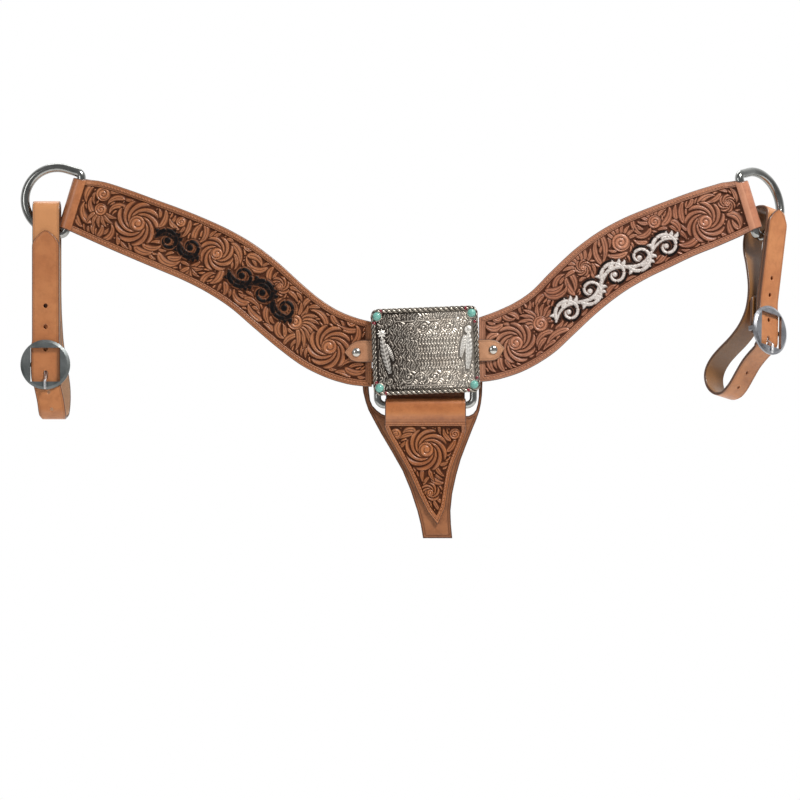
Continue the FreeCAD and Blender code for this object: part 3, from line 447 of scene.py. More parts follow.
class Relief:
    """Height, darkness and paint of a tooled panel over X and Z, in mm."""

    def __init__(self, poly, step=0.4, border=5.8, floor=-1.35):
        p = np.asarray(poly, float)
        lo, hi = p.min(0) - 2, p.max(0) + 2
        self.lo, self.step, self.border = lo, step, border
        nx, nz = int((hi[0] - lo[0]) / step) + 2, int((hi[1] - lo[1]) / step) + 2
        self.X, self.Z = np.meshgrid(lo[0] + np.arange(nx) * step, lo[1] + np.arange(nz) * step, indexing="ij")
        self.edge = poly_dist(poly, self.X, self.Z)
        inn = sstep(self.edge, border - 0.35, border + 0.35)
        self.H = inn * floor
        self.D = inn * 0.92
        self.I = np.zeros_like(self.H)
        self.S = np.zeros_like(self.H)
        self.free = sstep(self.edge, border + 0.5, border + 0.9)
        # painted highlight: T lightens the plain border, and lightens its raised beads more
        self.T = 0.30 * (1 - inn)
        for at, wide in ((1.15, 0.42), (2.62, 0.38), (4.05, 0.36), (5.45, 0.3)):
            g = np.exp(-((self.edge - at) / wide) ** 2)
            self.H += 0.16 * g
            self.T = np.maximum(self.T, 0.8 * g)
        for at, wide, deep, dk in ((1.9, 0.34, 0.34, 0.78), (4.75, 0.44, 0.45, 0.92)):
            g = np.exp(-((self.edge - at) / wide) ** 2)
            self.H -= deep * g
            self.D = np.maximum(self.D, dk * g)
        g = np.exp(-((self.edge - 3.35) / 0.5) ** 2)
        self.H -= 0.2 * g
        self.D = np.maximum(self.D, 0.30 * g)

    def win(self, x0, z0, x1, z1):
        i0 = max(0, int((x0 - self.lo[0]) / self.step))
        j0 = max(0, int((z0 - self.lo[1]) / self.step))
        i1 = max(i0, min(self.X.shape[0], int((x1 - self.lo[0]) / self.step) + 2))
        j1 = max(j0, min(self.X.shape[1], int((z1 - self.lo[1]) / self.step) + 2))
        return slice(i0, i1), slice(j0, j1)

    def at(self, arr, x, z):
        """Value at points, straight between the grid points."""
        u = np.clip((np.asarray(x) - self.lo[0]) / self.step, 0, self.X.shape[0] - 1.001)
        v = np.clip((np.asarray(z) - self.lo[1]) / self.step, 0, self.X.shape[1] - 1.001)
        i, j = u.astype(int), v.astype(int)
        a, b = u - i, v - j
        return (arr[i, j] * (1 - a) + arr[i + 1, j] * a) * (1 - b) + (arr[i, j + 1] * (1 - a) + arr[i + 1, j + 1] * a) * b

    def stamp(self, w, sd, h, d, ink=0.0, sil=0.0, gap=0.45, soft=0.4):
        m = np.clip(0.5 - sd / soft, 0, 1) * self.free[w]
        for arr, val in ((self.H, h), (self.D, d), (self.I, ink), (self.S, sil)):
            arr[w] = arr[w] * (1 - m) + val * m
        self.free[w] = np.minimum(self.free[w], np.clip((sd - gap) / soft + 0.5, 0, 1))

    def rosette(self, cx, cz, R, n=8, hand=1, turn=0.0, sweep=1.75):
        w = self.win(cx - R * 1.1, cz - R * 1.1, cx + R * 1.1, cz + R * 1.1)
        x, z = self.X[w] - cx, self.Z[w] - cz
        if x.size == 0:
            return
        r = np.hypot(x, z) + 1e-6
        th = np.arctan2(z, x) * hand
        e = r / R
        q = n * (th + sweep * np.log(np.maximum(e, 0.05))) / (2 * math.pi) + turn
        f = q - np.floor(q)
        # each blade stands between two deep cuts, steep on one side
        g = np.clip((f - 0.10) / 0.80, 0, 1)
        bl = (g ** 0.9) * ((1 - g) ** 0.42) / 0.505
        bl = np.where((f < 0.10) | (f > 0.90), 0, bl)
        rim = R * (0.78 + 0.22 * np.sin(math.pi * np.clip(f, 0, 1)) ** 0.55)
        sd = r - rim
        h = -1.25 + 1.75 * np.clip(bl, 0, 1) + 0.25 * np.sin(np.clip(e, 0, 1) * math.pi)
        d = np.clip(1.08 - 1.22 * bl, 0, 0.97)
        cut = np.exp(-((f - 0.60) / 0.045) ** 2) * sstep(e, 0.42, 0.52) * (1 - sstep(e, 0.78, 0.92))
        h -= 0.4 * cut
        d = np.maximum(d, 0.8 * cut)
        # spiral eye
        k = e / 0.36
        ring = np.exp(-((k - 1.0) / 0.10) ** 2)
        h = h * (1 - ring) + ring * -1.0
        d = np.maximum(d, 0.92 * ring)
        g = k * 1.9 - th / (2 * math.pi)
        g = g - np.floor(g)
        b2 = np.sin(math.pi * g) ** 0.8
        eye = k < 0.95
        h = np.where(eye, -0.95 + 1.5 * b2, h)
        d = np.where(eye, np.clip(0.98 - 1.35 * b2, 0, 0.92), d)
        pip = k < 0.2
        h = np.where(pip, 0.55, h)
        d = np.where(pip, 0.0, d)
        self.stamp(w, sd, h, d, gap=0.7)

    def spiral(self, cx, cz, R, hand=1, turns=2.2, turn=0.0, ink=0.0, sil=0.0):
        w = self.win(cx - R - 1, cz - R - 1, cx + R + 1, cz + R + 1)
        x, z = self.X[w] - cx, self.Z[w] - cz
        if x.size == 0:
            return
        r = np.hypot(x, z)
        th = np.arctan2(z, x) * hand
        g = r / (R / turns) - th / (2 * math.pi) + turn
        g = g - np.floor(g)
        b = np.sin(math.pi * g) ** 0.8
        sd = r - R
        self.stamp(w, sd, -1.0 + 1.5 * b, np.clip(0.98 - 1.3 * b, 0, 0.92), ink, sil, gap=0.6)

    def leaf(self, pts, width, high=0.35, vein=0.0, ink=0.0, sil=0.0, blunt=0.25, gap=0.45, even=False, dark=0.0):
        s = smooth_curve(pts, 16) if len(pts) > 2 else resample(pts, 8)
        lo, hi = s.min(0) - width - 1, s.max(0) + width + 1
        w = self.win(lo[0], lo[1], hi[0], hi[1])
        X, Z = self.X[w], self.Z[w]
        if X.size == 0:
            return
        best = np.full(X.shape, 1e9)
        par = np.zeros(X.shape)
        sidea = np.zeros(X.shape)
        n = len(s) - 1
        for i in range(n):
            (x0, z0), (x1, z1) = s[i], s[i + 1]
            dx, dz = x1 - x0, z1 - z0
            l2 = dx * dx + dz * dz + 1e-12
            t = np.clip(((X - x0) * dx + (Z - z0) * dz) / l2, 0, 1)
            ex, ez = X - x0 - t * dx, Z - z0 - t * dz
            dd = ex * ex + ez * ez
            k = dd < best
            best = np.where(k, dd, best)
            par = np.where(k, (i + t) / n, par)
            sidea = np.where(k, np.sign(dx * ez - dz * ex), sidea)
        dist = np.sqrt(best)
        if even:
            wv = width * np.clip(np.minimum(par * 12 + 0.6, (1 - par) * 6 + 0.35), 0, 1)
        else:
            wv = width * (blunt * (1 - par) ** 3 + np.sin(math.pi * np.clip(par, 0, 1) ** 0.8) ** 0.75 * (1 - 0.15 * par))
        wv = np.maximum(wv, 0.12)
        q = np.clip(dist / wv, 0, 1)
        h = -0.75 + (high + 0.75) * np.sqrt(1 - 0.97 * q * q)
        h = h + 0.30 * sidea * q * (1 - q) * 2
        d = np.clip((q - 0.34) * 1.35, 0, 0.85) + dark
        if vein > 0:
            v = np.exp(-(dist / (0.16 + 0.1 * width * vein)) ** 2) * sstep(par, 0.04, 0.12) * (1 - sstep(par, 0.7, 0.9))
            h = h - 0.6 * v
            d = np.maximum(d, 0.9 * v)
        self.stamp(w, dist - wv, h, np.clip(d, 0, 1), ink, sil, gap=gap)

    def ball(self, cx, cz, R, ink=0.0, sil=0.0, high=0.3):
        w = self.win(cx - R - 1, cz - R - 1, cx + R + 1, cz + R + 1)
        x, z = self.X[w] - cx, self.Z[w] - cz
        if x.size == 0:
            return
        r = np.hypot(x, z)
        q = np.clip(r / R, 0, 1)
        self.stamp(w, r - R, -0.6 + (high + 0.6) * np.sqrt(1 - 0.95 * q * q), np.clip((q - 0.6) * 1.2, 0, 0.5), ink, sil)

    def fan(self, cx, cz, r0, a0, a1, n, length, width, curl=0.5, vein=0.5, ink=0.0, sil=0.0, taper=0.0):
        """Blades that start round (cx, cz) at radius r0 between the angles a0 and a1, in degrees, and curl."""
        for i in range(n):
            f = i / max(1, n - 1)
            a = math.radians(a0 + (a1 - a0) * f)
            L = length * (1 - taper * f)
            p = []
            ang = a
            x, z = cx + r0 * math.cos(a), cz + r0 * math.sin(a)
            for k in range(6):
                p.append((x, z))
                x += L / 5 * math.cos(ang)
                z += L / 5 * math.sin(ang)
                ang += curl / 5
            self.leaf(p, width, vein=vein, ink=ink, sil=sil, blunt=0.5)

    def curl(self, start, heading, radius, turns, width, hand=1, ink=0.0, sil=0.0, high=0.4):
        """A tendril that leaves start along heading (radians) and winds up into a coil of that radius."""
        cx = start[0] - hand * radius * math.sin(heading)
        cz = start[1] + hand * radius * math.cos(heading)
        a0 = math.atan2(start[1] - cz, start[0] - cx)
        n = int(10 * turns) + 4
        p = []
        for i in range(n):
            f = i / (n - 1)
            rr = radius * (1 - f) ** 0.75 * (1 - 0.22 * f) + 0.9
            a = a0 + hand * f * turns * 2 * math.pi
            p.append((cx + rr * math.cos(a), cz + rr * math.sin(a)))
        self.ball(cx, cz, width * 1.25, ink, sil, high)
        s = smooth_curve(p, 40)
        for i in range(0, 39, 13):
            self.leaf(s[i:i + 14], width * (1.0 - 0.18 * i / 26), high=high, ink=ink, sil=sil, even=True, gap=0.4)
        return cx, cz

    def vine(self, path, amp, waves, width, ink=0.0, sil=0.0, coil=5.5, hand=1, line=0.0, leafy=1.0, line_ink=1.0):
        """A running vine: a waving stem, a coil in every bay, and pairs of leaves. line adds a dark outline of that width."""
        c = smooth_curve(path, 240)
        t = np.gradient(c, axis=0)
        t /= np.linalg.norm(t, axis=1)[:, None]
        nrm = np.stack([-t[:, 1], t[:, 0]], 1)
        u = np.linspace(0, 1, 240)
        stem = c + nrm * (amp * np.sin(2 * math.pi * waves * u) * hand)[:, None]
        bays = int(round(waves * 2))
        parts = []
        for b in range(bays):
            s = hand * (1 if b % 2 == 0 else -1)
            i = int((b + 0.56) / bays * 239)
            j = int(max(0.0, (b + 0.10) / bays) * 239)
            centre = c[i] - nrm[i] * s * amp * 0.25
            st = stem[j]
            a_in = math.atan2(st[1] - centre[1], st[0] - centre[0])
            d0 = math.hypot(*(st - centre))
            p = []
            for k in range(26):
                f = k / 25
                rr = d0 * (1 - f) ** 1.5 + coil * 0.52 * (1 - f) ** 0.3 * min(1.0, f * 2.5) + 0.3
                a = a_in - s * f * 1.25 * 2 * math.pi
                p.append((centre[0] + rr * math.cos(a), centre[1] + rr * math.sin(a)))
            cc = smooth_curve(p, 56)
            parts.append(("ball", cc[-1], width * 1.5))
            for q in range(0, 52, 11):
                parts.append(("leaf", cc[q:q + 12], width * (1.05 - 0.35 * q / 55), True))
        for q in range(0, 239, 16):
            f = q / 239
            parts.append(("leaf", stem[q:min(240, q + 18)], width * (0.65 + 0.5 * math.sin(math.pi * min(1, f * 1.1 + 0.05))), True))
        for b in range(bays):
            s = hand * (1 if b % 2 == 0 else -1)
            for off_u, ln, w_ in ((0.50, 9.5, 1.45), (0.72, 8.5, 1.35), (0.90, 7.0, 1.2), (0.16, 7.5, 1.2)):
                i = int(np.clip((b + off_u) / bays, 0, 1) * 239)
                base = stem[i] + nrm[i] * s * 0.4
                d = nrm[i] * s * 0.75 + t[i] * (0.9 if off_u > 0.4 else -0.7)
                d /= np.linalg.norm(d)
                e = base + d * ln * leafy
                m = (base + e) / 2 + t[i] * 1.6 * leafy
                parts.append(("leaf", np.array([base, m, e]), width * w_, False))
        for pas in ((0, 1) if line else (0,)):
            grow = line if pas else 0.0
            ki, ks = (line_ink, 0.0) if pas else (ink, sil)
            for pr in parts:
                if pr[0] == "ball":
                    self.ball(pr[1][0], pr[1][1], pr[2] + grow, ki, ks, 0.15 if pas else 0.5)
                else:
                    self.leaf(pr[1], pr[2] + grow, high=0.1 if pas else 0.5, ink=ki, sil=ks, even=pr[3], gap=0.02 if line and not pas else 0.4, blunt=0.35)

    def fill(self, tries, length, width, flow, vein, seed, need=0.75, curl=0.7, ends=None):
        g = np.random.default_rng(seed)
        ok = np.argwhere(self.free > 0.9)
        if len(ok) == 0:
            return
        for _ in range(tries):
            i, j = ok[g.integers(len(ok))]
            if self.free[i, j] < 0.9:
                continue
            x, z = self.X[i, j], self.Z[i, j]
            a, hand = flow(x, z)
            a += g.normal(0, 0.22)
            if g.random() < 0.25:
                a += math.pi
            L = length * g.uniform(0.75, 1.2)
            W = width * g.uniform(0.85, 1.15)
            k = hand * curl * g.uniform(0.6, 1.4)
            p = []
            px, pz, aa = x - 0.5 * L * math.cos(a), z - 0.5 * L * math.sin(a), a - k / 2
            for q in range(6):
                p.append((px, pz))
                px += L / 5 * math.cos(aa)
                pz += L / 5 * math.sin(aa)
                aa += k / 5
            pp = np.array(p)
            f = self.at(self.free, pp[:, 0], pp[:, 1])
            nx_, nz_ = -math.sin(a) * W * 0.7, math.cos(a) * W * 0.7
            f2 = self.at(self.free, pp[1:5, 0] + nx_, pp[1:5, 1] + nz_)
            f3 = self.at(self.free, pp[1:5, 0] - nx_, pp[1:5, 1] - nz_)
            if (f.mean() + f2.mean() + f3.mean()) / 3 < need:
                continue
            self.leaf(p, W, high=g.uniform(0.2, 0.4), vein=vein, blunt=0.35, gap=0.35)

    def seeds(self, tries, radius, seed):
        g = np.random.default_rng(seed)
        ok = np.argwhere(self.free > 0.9)
        for _ in range(tries):
            if len(ok) == 0:
                return
            i, j = ok[g.integers(len(ok))]
            x, z = self.X[i, j], self.Z[i, j]
            a = np.linspace(0, 2 * math.pi, 7)[:-1]
            if self.at(self.free, x + radius * 1.2 * np.cos(a), z + radius * 1.2 * np.sin(a)).min() < 0.8:
                continue
            self.ball(x, z, radius * g.uniform(0.8, 1.1), high=0.1)


def stitch_line(side, which, n=400):
    """Line of the stitching, 3.35 mm in from the edge."""
    tl, bl = shoulder_rows(side, n)
    dirn = 1 if side == "right" else -1
    line, s = (tl, -dirn) if which == "top" else (bl, dirn)
    off = offset_line(line, 3.35 * s)
    return off[abs(off[:, 0]) > 53.5]


def stitch_holes(t, line, pitch=3.1):
    """Small dark awl holes where each stitch goes down."""
    L = np.linalg.norm(np.diff(line, axis=0), axis=1).sum()
    for x, z in resample(line, int(L / pitch) + 1):
        w = t.win(x - 1.4, z - 1.4, x + 1.4, z + 1.4)
        g = np.exp(-(((t.X[w] - x) ** 2 + (t.Z[w] - z) ** 2) / 0.42 ** 2))
        t.D[w] = np.maximum(t.D[w], 0.95 * np.minimum(1, g * 1.4))
        t.H[w] -= 0.35 * g


def PX(px, py):
    """Drawing units of 0.95 mm, from the top left of the front view, to mm."""
    return (px - 425.5) * 0.95, (351.0 - py) * 0.95


def swirl(centres, along):
    """Direction of the leaves at a point: round the nearest rosette, otherwise along the strap."""
    c = np.array([(x, z, r) for x, z, r in centres])

    def flow(x, z):
        d = np.hypot(c[:, 0] - x, c[:, 1] - z) / c[:, 2]
        i = int(np.argmin(d))
        a = math.atan2(z - c[i, 1], x - c[i, 0])
        hand = 1 if i % 2 == 0 else -1
        w = max(0.0, min(1.0, (3.2 - d[i]) / 2.0))
        ta = a + hand * math.radians(58)
        sa = along(x)
        vx = w * math.cos(ta) + (1 - w) * math.cos(sa)
        vz = w * math.sin(ta) + (1 - w) * math.sin(sa)
        return math.atan2(vz, vx), hand
    return flow


# ------------------------------------------------------------------ strips of leather
def edge_drop(d, r):
    """How far a rounded edge of radius r stands back at the distance d from the edge."""
    x = np.clip(r - d, 0, r)
    return r - np.sqrt(np.maximum(r * r - x * x, 0))


def strip(name, A, B, front, back, ncol, rf, rb, first, disp=None, attrs=None, mat=None, nback=None, flesh_back=True, flesh_front=False, edge_wide=1.1, cap=True):
    """A band of leather between the edge lines A and B (mm, rows by 3), which lie on its middle surface.
    front and back are how far its faces stand off along the normal; first is the front direction at row 0."""
    A, B = np.asarray(A, float), np.asarray(B, float)
    n = len(A)
    M = (A + B) / 2
    T = np.gradient(M, axis=0)
    W = B - A
    N = np.cross(T, W)
    N /= np.linalg.norm(N, axis=1)[:, None]
    if N[0] @ np.asarray(first, float) < 0:
        N = -N
    for i in range(1, n):
        if N[i] @ N[i - 1] < 0:
            N[i] = -N[i]
    width = np.linalg.norm(W, axis=1)
    front = np.broadcast_to(np.asarray(front, float), (n,))
    back = np.broadcast_to(np.asarray(back, float), (n,))
    ed = np.array([0.0, 0.12, 0.35, 0.75, 1.3, 2.0])

    def columns(k):
        out = np.zeros((n, k))
        for i in range(n):
            e = np.minimum(ed, width[i] * 0.06 * np.arange(len(ed)))
            mid = np.linspace(e[-1], width[i] - e[-1], k - 2 * len(ed) + 2)
            out[i] = np.concatenate([e[:-1], mid, width[i] - e[:-1][::-1]])
        return out
    nb = nback or max(14, ncol // 8)
    cf, cb = columns(ncol), columns(nb)
    F = A[:, None, :] + W[:, None, :] * (cf / width[:, None])[:, :, None]
    Bk = A[:, None, :] + W[:, None, :] * (cb / width[:, None])[:, :, None]
    df = np.minimum(cf, width[:, None] - cf)
    db = np.minimum(cb, width[:, None] - cb)
    hf = front[:, None] - edge_drop(df, rf)
    hb = back[:, None] - edge_drop(db, rb)
    if disp is not None:
        hf = hf + disp(F, df)
    Fp = F + N[:, None, :] * hf[:, :, None]
    Bp = Bk - N[:, None, :] * hb[:, :, None]
    v = np.concatenate([Fp.reshape(-1, 3), Bp.reshape(-1, 3)])
    o = n * ncol
    idx = np.arange(n * ncol).reshape(n, ncol)
    idb = np.arange(n * nb).reshape(n, nb) + o
    q = [np.stack([idx[:-1, :-1], idx[1:, :-1], idx[1:, 1:], idx[:-1, 1:]], -1).reshape(-1, 4),
         np.stack([idb[:-1, :-1], idb[:-1, 1:], idb[1:, 1:], idb[1:, :-1]], -1).reshape(-1, 4),
         np.stack([idx[:-1, 0], idb[:-1, 0], idb[1:, 0], idx[1:, 0]], -1),
         np.stack([idx[:-1, -1], idx[1:, -1], idb[1:, -1], idb[:-1, -1]], -1)]
    faces = [tuple(f) for f in np.concatenate(q).tolist()]
    if cap:
        faces.append(tuple(idx[0].tolist()) + tuple(idb[0][::-1].tolist()))
        faces.append(tuple(idx[-1][::-1].tolist()) + tuple(idb[-1].tolist()))
    ob = make_object(name, v, faces)
    fix_normals(ob)
    e_f = 1 - sstep(df, edge_wide * 0.45, edge_wide)
    e_b = 1 - sstep(db, edge_wide * 0.3, edge_wide * 0.8)
    if cap:
        e_f[0, :] = e_f[-1, :] = 1
        e_b[0, :] = e_b[-1, :] = 1
    set_attr(ob, "edge", np.concatenate([e_f.ravel(), e_b.ravel()]))
    fl = np.concatenate([np.full(n * ncol, 1.0 if flesh_front else 0.0), np.full(n * nb, 1.0 if flesh_back else 0.0)])
    set_attr(ob, "flesh", fl)
    if attrs is not None:
        for key, arr in attrs(F, df).items():
            set_attr(ob, key, np.concatenate([arr.ravel(), np.zeros(n * nb)]))
    if mat is not None:
        ob.data.materials.append(mat)
    return ob


def stitches(mesh, path, up, pitch=3.1, length=2.35, r=0.42, lift=0.05):
    """Thread along a path; each stitch dips into the leather at both ends."""
    path = np.asarray(path, float)
    L = np.linalg.norm(np.diff(path, axis=0), axis=1).sum()
    k = int(L / pitch)
    p = resample(path, k + 1)
    up = np.asarray(up, float)
    for i in range(k):
        a, b = p[i], p[i + 1]
        d = b - a
        ln = np.linalg.norm(d)
        if ln < 1e-6:
            continue
        d /= ln
        m = (a + b) / 2
        s = np.cross(d, up)
        s /= np.linalg.norm(s)
        u = up
        t = np.array([-0.5, -0.36, 0.0, 0.36, 0.5])
        h = np.array([-0.42, -0.02, 0.12, -0.02, -0.42]) + lift
        rr = np.array([0.62, 0.95, 1.0, 0.95, 0.62]) * r
        pts = m + d * (t[:, None] * length) + s * (t[:, None] * 0.28) + u * h[:, None]
        sides = 6
        ang = np.linspace(0, 2 * math.pi, sides, endpoint=False)
        v = pts[:, None, :] + rr[:, None, None] * (np.cos(ang)[None, :, None] * s * 1.15 + np.sin(ang)[None, :, None] * u)
        f = grid_faces(5, sides, False, True)
        f.append(tuple(range(sides)))
        f.append(tuple(range(4 * sides, 5 * sides))[::-1])
        mesh.add(v.reshape(-1, 3), f)


def offset_line(pts, d):
    """The line moved sideways by d (to the left of its direction) in the plane."""
    p = np.asarray(pts, float)
    t = np.gradient(p, axis=0)
    t /= np.linalg.norm(t, axis=1)[:, None]
    return p + np.stack([-t[:, 1], t[:, 0]], 1) * d


# ------------------------------------------------------------------ shoulder straps
L_TOP = [(-322.5, 163.6), (-311.1, 161.9), (-299.7, 159.2), (-276.9, 151.6), (-254.1, 143.2), (-231.3, 134.8), (-208.5, 125.5),
         (-185.7, 114.9), (-162.9, 101.6), (-140.1, 84.3), (-117.3, 63.6), (-100.2, 49.4), (-83.1, 38.6), (-66.0, 31.7), (-50.9, 27.7)]
L_BOT = [(-50.9, -34.2), (-62.2, -33.4), (-75.5, -31.3), (-94.5, -25.4), (-117.3, -14.2), (-140.1, 2.5), (-162.9, 21.7),
         (-185.7, 41.2), (-208.5, 56.0), (-231.3, 67.6), (-254.1, 77.3), (-276.9, 86.9), (-299.7, 96.7), (-322.5, 106.4), (-335.0, 113.2)]
R_TOP = [(50.9, 32.0), (61.3, 35.6), (72.7, 40.2), (86.0, 46.8), (101.2, 57.3), (118.3, 74.6), (141.1, 96.1), (163.9, 113.0),
         (186.7, 125.6), (209.5, 135.2), (232.3, 143.9), (255.1, 152.1), (277.9, 159.0), (289.3, 161.8), (296.3, 162.2)]
R_BOT = [(307.6, 112.9), (298.8, 108.5), (277.9, 99.4), (255.1, 90.2), (232.3, 79.4), (209.5, 68.3), (186.7, 54.6), (163.9, 36.8),
         (141.1, 15.6), (124.0, -0.4), (106.9, -12.1), (89.8, -20.7), (72.7, -26.3), (61.3, -28.6), (50.9, -29.7)]

TILT = math.radians(17)
ENDS = {
    "left": dict(C=(-334.8, 139.1), u=(math.sin(TILT), math.cos(TILT)), o=(-math.cos(TILT), math.sin(TILT)), half=24.8,
                 at=(28.7, -26.6), near=(27.0, -25.4), top=L_TOP[::-1][:-1], bot=L_BOT[:-2] + [(-327.3, 109.0)]),
    "right": dict(C=(306.2, 137.9), u=(-math.sin(TILT), math.cos(TILT)), o=(math.cos(TILT), math.sin(TILT)), half=23.4,
                  at=(28.2, -25.95), near=(26.6, -24.6), top=R_TOP[:-2] + [(282.65, 160.2)], bot=R_BOT[::-1][:-1]),
}


def shoulder_rows(side, n):
    """Edge lines A (top) and B (bottom) in XZ from the inner end out to the line o = -16."""
    e = ENDS[side]
    return smooth_curve(e["top"], n), smooth_curve(e["bot"], n)


def fold_rows(side, mid_r, mid_y, leg_y, leg_to):
    """Rows from o = -16 over the dee bar and back behind the strap."""
    e = ENDS[side]
    C, u, o = np.array(e["C"]), np.array(e["u"]), np.array(e["o"])
    rows = []
    for ov in np.linspace(-15.4, 0, 34):
        g = sstep(np.array(ov), -13.0, 0.0)
        f = (ov + 16) / 16
        wa = e["at"][0] + (e["near"][0] - e["at"][0]) * min(1, f * 1.7) if f < 0.588 else e["near"][0] + (e["half"] - e["near"][0]) * sstep(np.array(f), 0.588, 1.0)
        wb = -e["at"][1] + (-e["near"][1] + e["at"][1]) * min(1, f * 1.7) if f < 0.588 else -e["near"][1] + (e["half"] + e["near"][1]) * sstep(np.array(f), 0.588, 1.0)
        rows.append((ov, mid_y + (-9 - mid_r - mid_y) * g, wa, wb))
    for a in np.linspace(0, math.pi, 26)[1:]:
        rows.append((mid_r * math.sin(a), -9 - mid_r * math.cos(a), e["half"], e["half"]))
    for ov in np.linspace(0, leg_to, 16)[1:]:
        g = sstep(np.array(-ov), 0.0, 13.0)
        rows.append((ov, -9 + mid_r + (leg_y - (-9 + mid_r)) * g, e["half"] - 0.4, e["half"] - 0.4))
    A, B = [], []
    for ov, y, wa, wb in rows:
        pa, pb = C + u * wa + o * ov, C - u * wb + o * ov
        A.append((pa[0], y, pa[1]))
        B.append((pb[0], y, pb[1]))
    return np.array(A), np.array(B)


def panel_polygon(side):
    top, bot = shoulder_rows(side, 120)
    e = ENDS[side]
    C, u, o = np.array(e["C"]), np.array(e["u"]), np.array(e["o"])
    ext_t = [C + u * e["near"][0] + o * -6, C + u * (e["half"] + 0.5) + o * 20]
    ext_b = [C - u * (e["half"] + 0.5) + o * 20, C + u * e["near"][1] + o * -6]
    return np.vstack([top, ext_t, ext_b, bot[::-1]])


def fold_mask(side, X, Z, at=-5.0):
    e = ENDS[side]
    d = (X - e["C"][0]) * e["o"][0] + (Z - e["C"][1]) * e["o"][1]
    return sstep(d, at - 0.4, at + 0.4), d


def tool_left():
    t = Relief(panel_polygon("left"))
    m, d = fold_mask("left", t.X, t.Z)
    t.free *= 1 - sstep(d, -6.6, -6.1)
    cen = []

    def ros(px, py, r, n=9, hand=1, turn=0.0):
        x, z = PX(px, py)
        t.rosette(x, z, r * 0.95, n, hand, turn)
        cen.append((x, z, r))

    def spi(px, py, r, hand=1, turns=2.2, turn=0.0, **k):
        x, z = PX(px, py)
        t.spiral(x, z, r * 0.95, hand, turns, turn, **k)
        cen.append((x, z, r))
    # dark vines where the two long panels are
    t.vine([PX(155, 237), PX(170, 240), PX(185, 246), PX(198, 254)], 5.0, 1.0, 2.1, ink=1.0, coil=6.3, line=1.3, line_ink=0.0)
    t.vine([PX(228, 270), PX(245, 279), PX(262, 291), PX(278, 304), PX(292, 317)], 5.4, 1.5, 2.1, ink=1.0, coil=6.6, hand=-1, line=1.3, line_ink=0.0)
    ros(137, 223.6, 22.5, 9, 1)
    ros(216.6, 253.7, 17.5, 8, -1)
    ros(329, 347, 22, 9, 1)
    ros(279.7, 286.4, 10, 7, -1)
    spi(103, 194, 7, 1)
    spi(100.6, 209.5, 6, -1)
    spi(295, 322, 7.5, 1)
    spi(181, 222, 5, -1)
    spi(249, 246, 5.5, 1)
    spi(352, 322, 5, -1)
    # long blades from the inner spiral down to the big rosette
    x, z = PX(295, 322)
    t.fan(x, z, 7.6, -75, 25, 7, 21, 2.5, curl=-0.9, vein=0.7, taper=0.25)
    t.fan(x, z, 7.6, 40, 130, 5, 13, 2.1, curl=0.8, vein=0.7)
    x, z = PX(100.6, 209.5)
    t.fan(x, z, 6.2, -150, -40, 6, 12, 1.9, curl=0.8, vein=0.6)
    x, z = PX(103, 194)
    t.fan(x, z, 7.0, 10, 80, 4, 11, 1.9, curl=-0.7, vein=0.6)
    x, z = PX(189, 268)
    t.fan(x, z, 0.5, -160, 20, 6, 13, 2.2, curl=0.5, vein=0.8)
    x, z = PX(279.7, 286.4)
    t.fan(x, z, 9.8, -30, 60, 5, 14, 2.2, curl=-0.9, vein=0.7)
    x, z = PX(243, 236)
    t.fan(x, z, 1.5, 150, 10, 5, 12, 2.0, curl=0.6, vein=0.7)
    along = lambda x: math.atan2(-0.42, 1.0) if x < -190 else math.atan2(-0.95, 1.0)
    flow = swirl(cen, along)
    t.fill(1800, 25, 3.3, flow, 0.9, 3, need=0.82, curl=1.7)
    t.fill(1600, 19, 2.9, flow, 0.9, 33, need=0.80, curl=1.3)
    t.fill(1600, 15, 2.5, flow, 0.8, 53, need=0.80, curl=1.0)
    t.fill(2200, 10, 1.75, flow, 0.6, 4, need=0.80, curl=0.9)
    t.fill(1500, 6.0, 1.1, flow, 0.0, 5, need=0.84)
    t.seeds(300, 0.7, 6)
    # painted highlight across the fold over the dee
    finish_panel(t, m, 0.1 + 0.9 * np.exp(-((d - 1.6) / 1.5) ** 2))
    return t


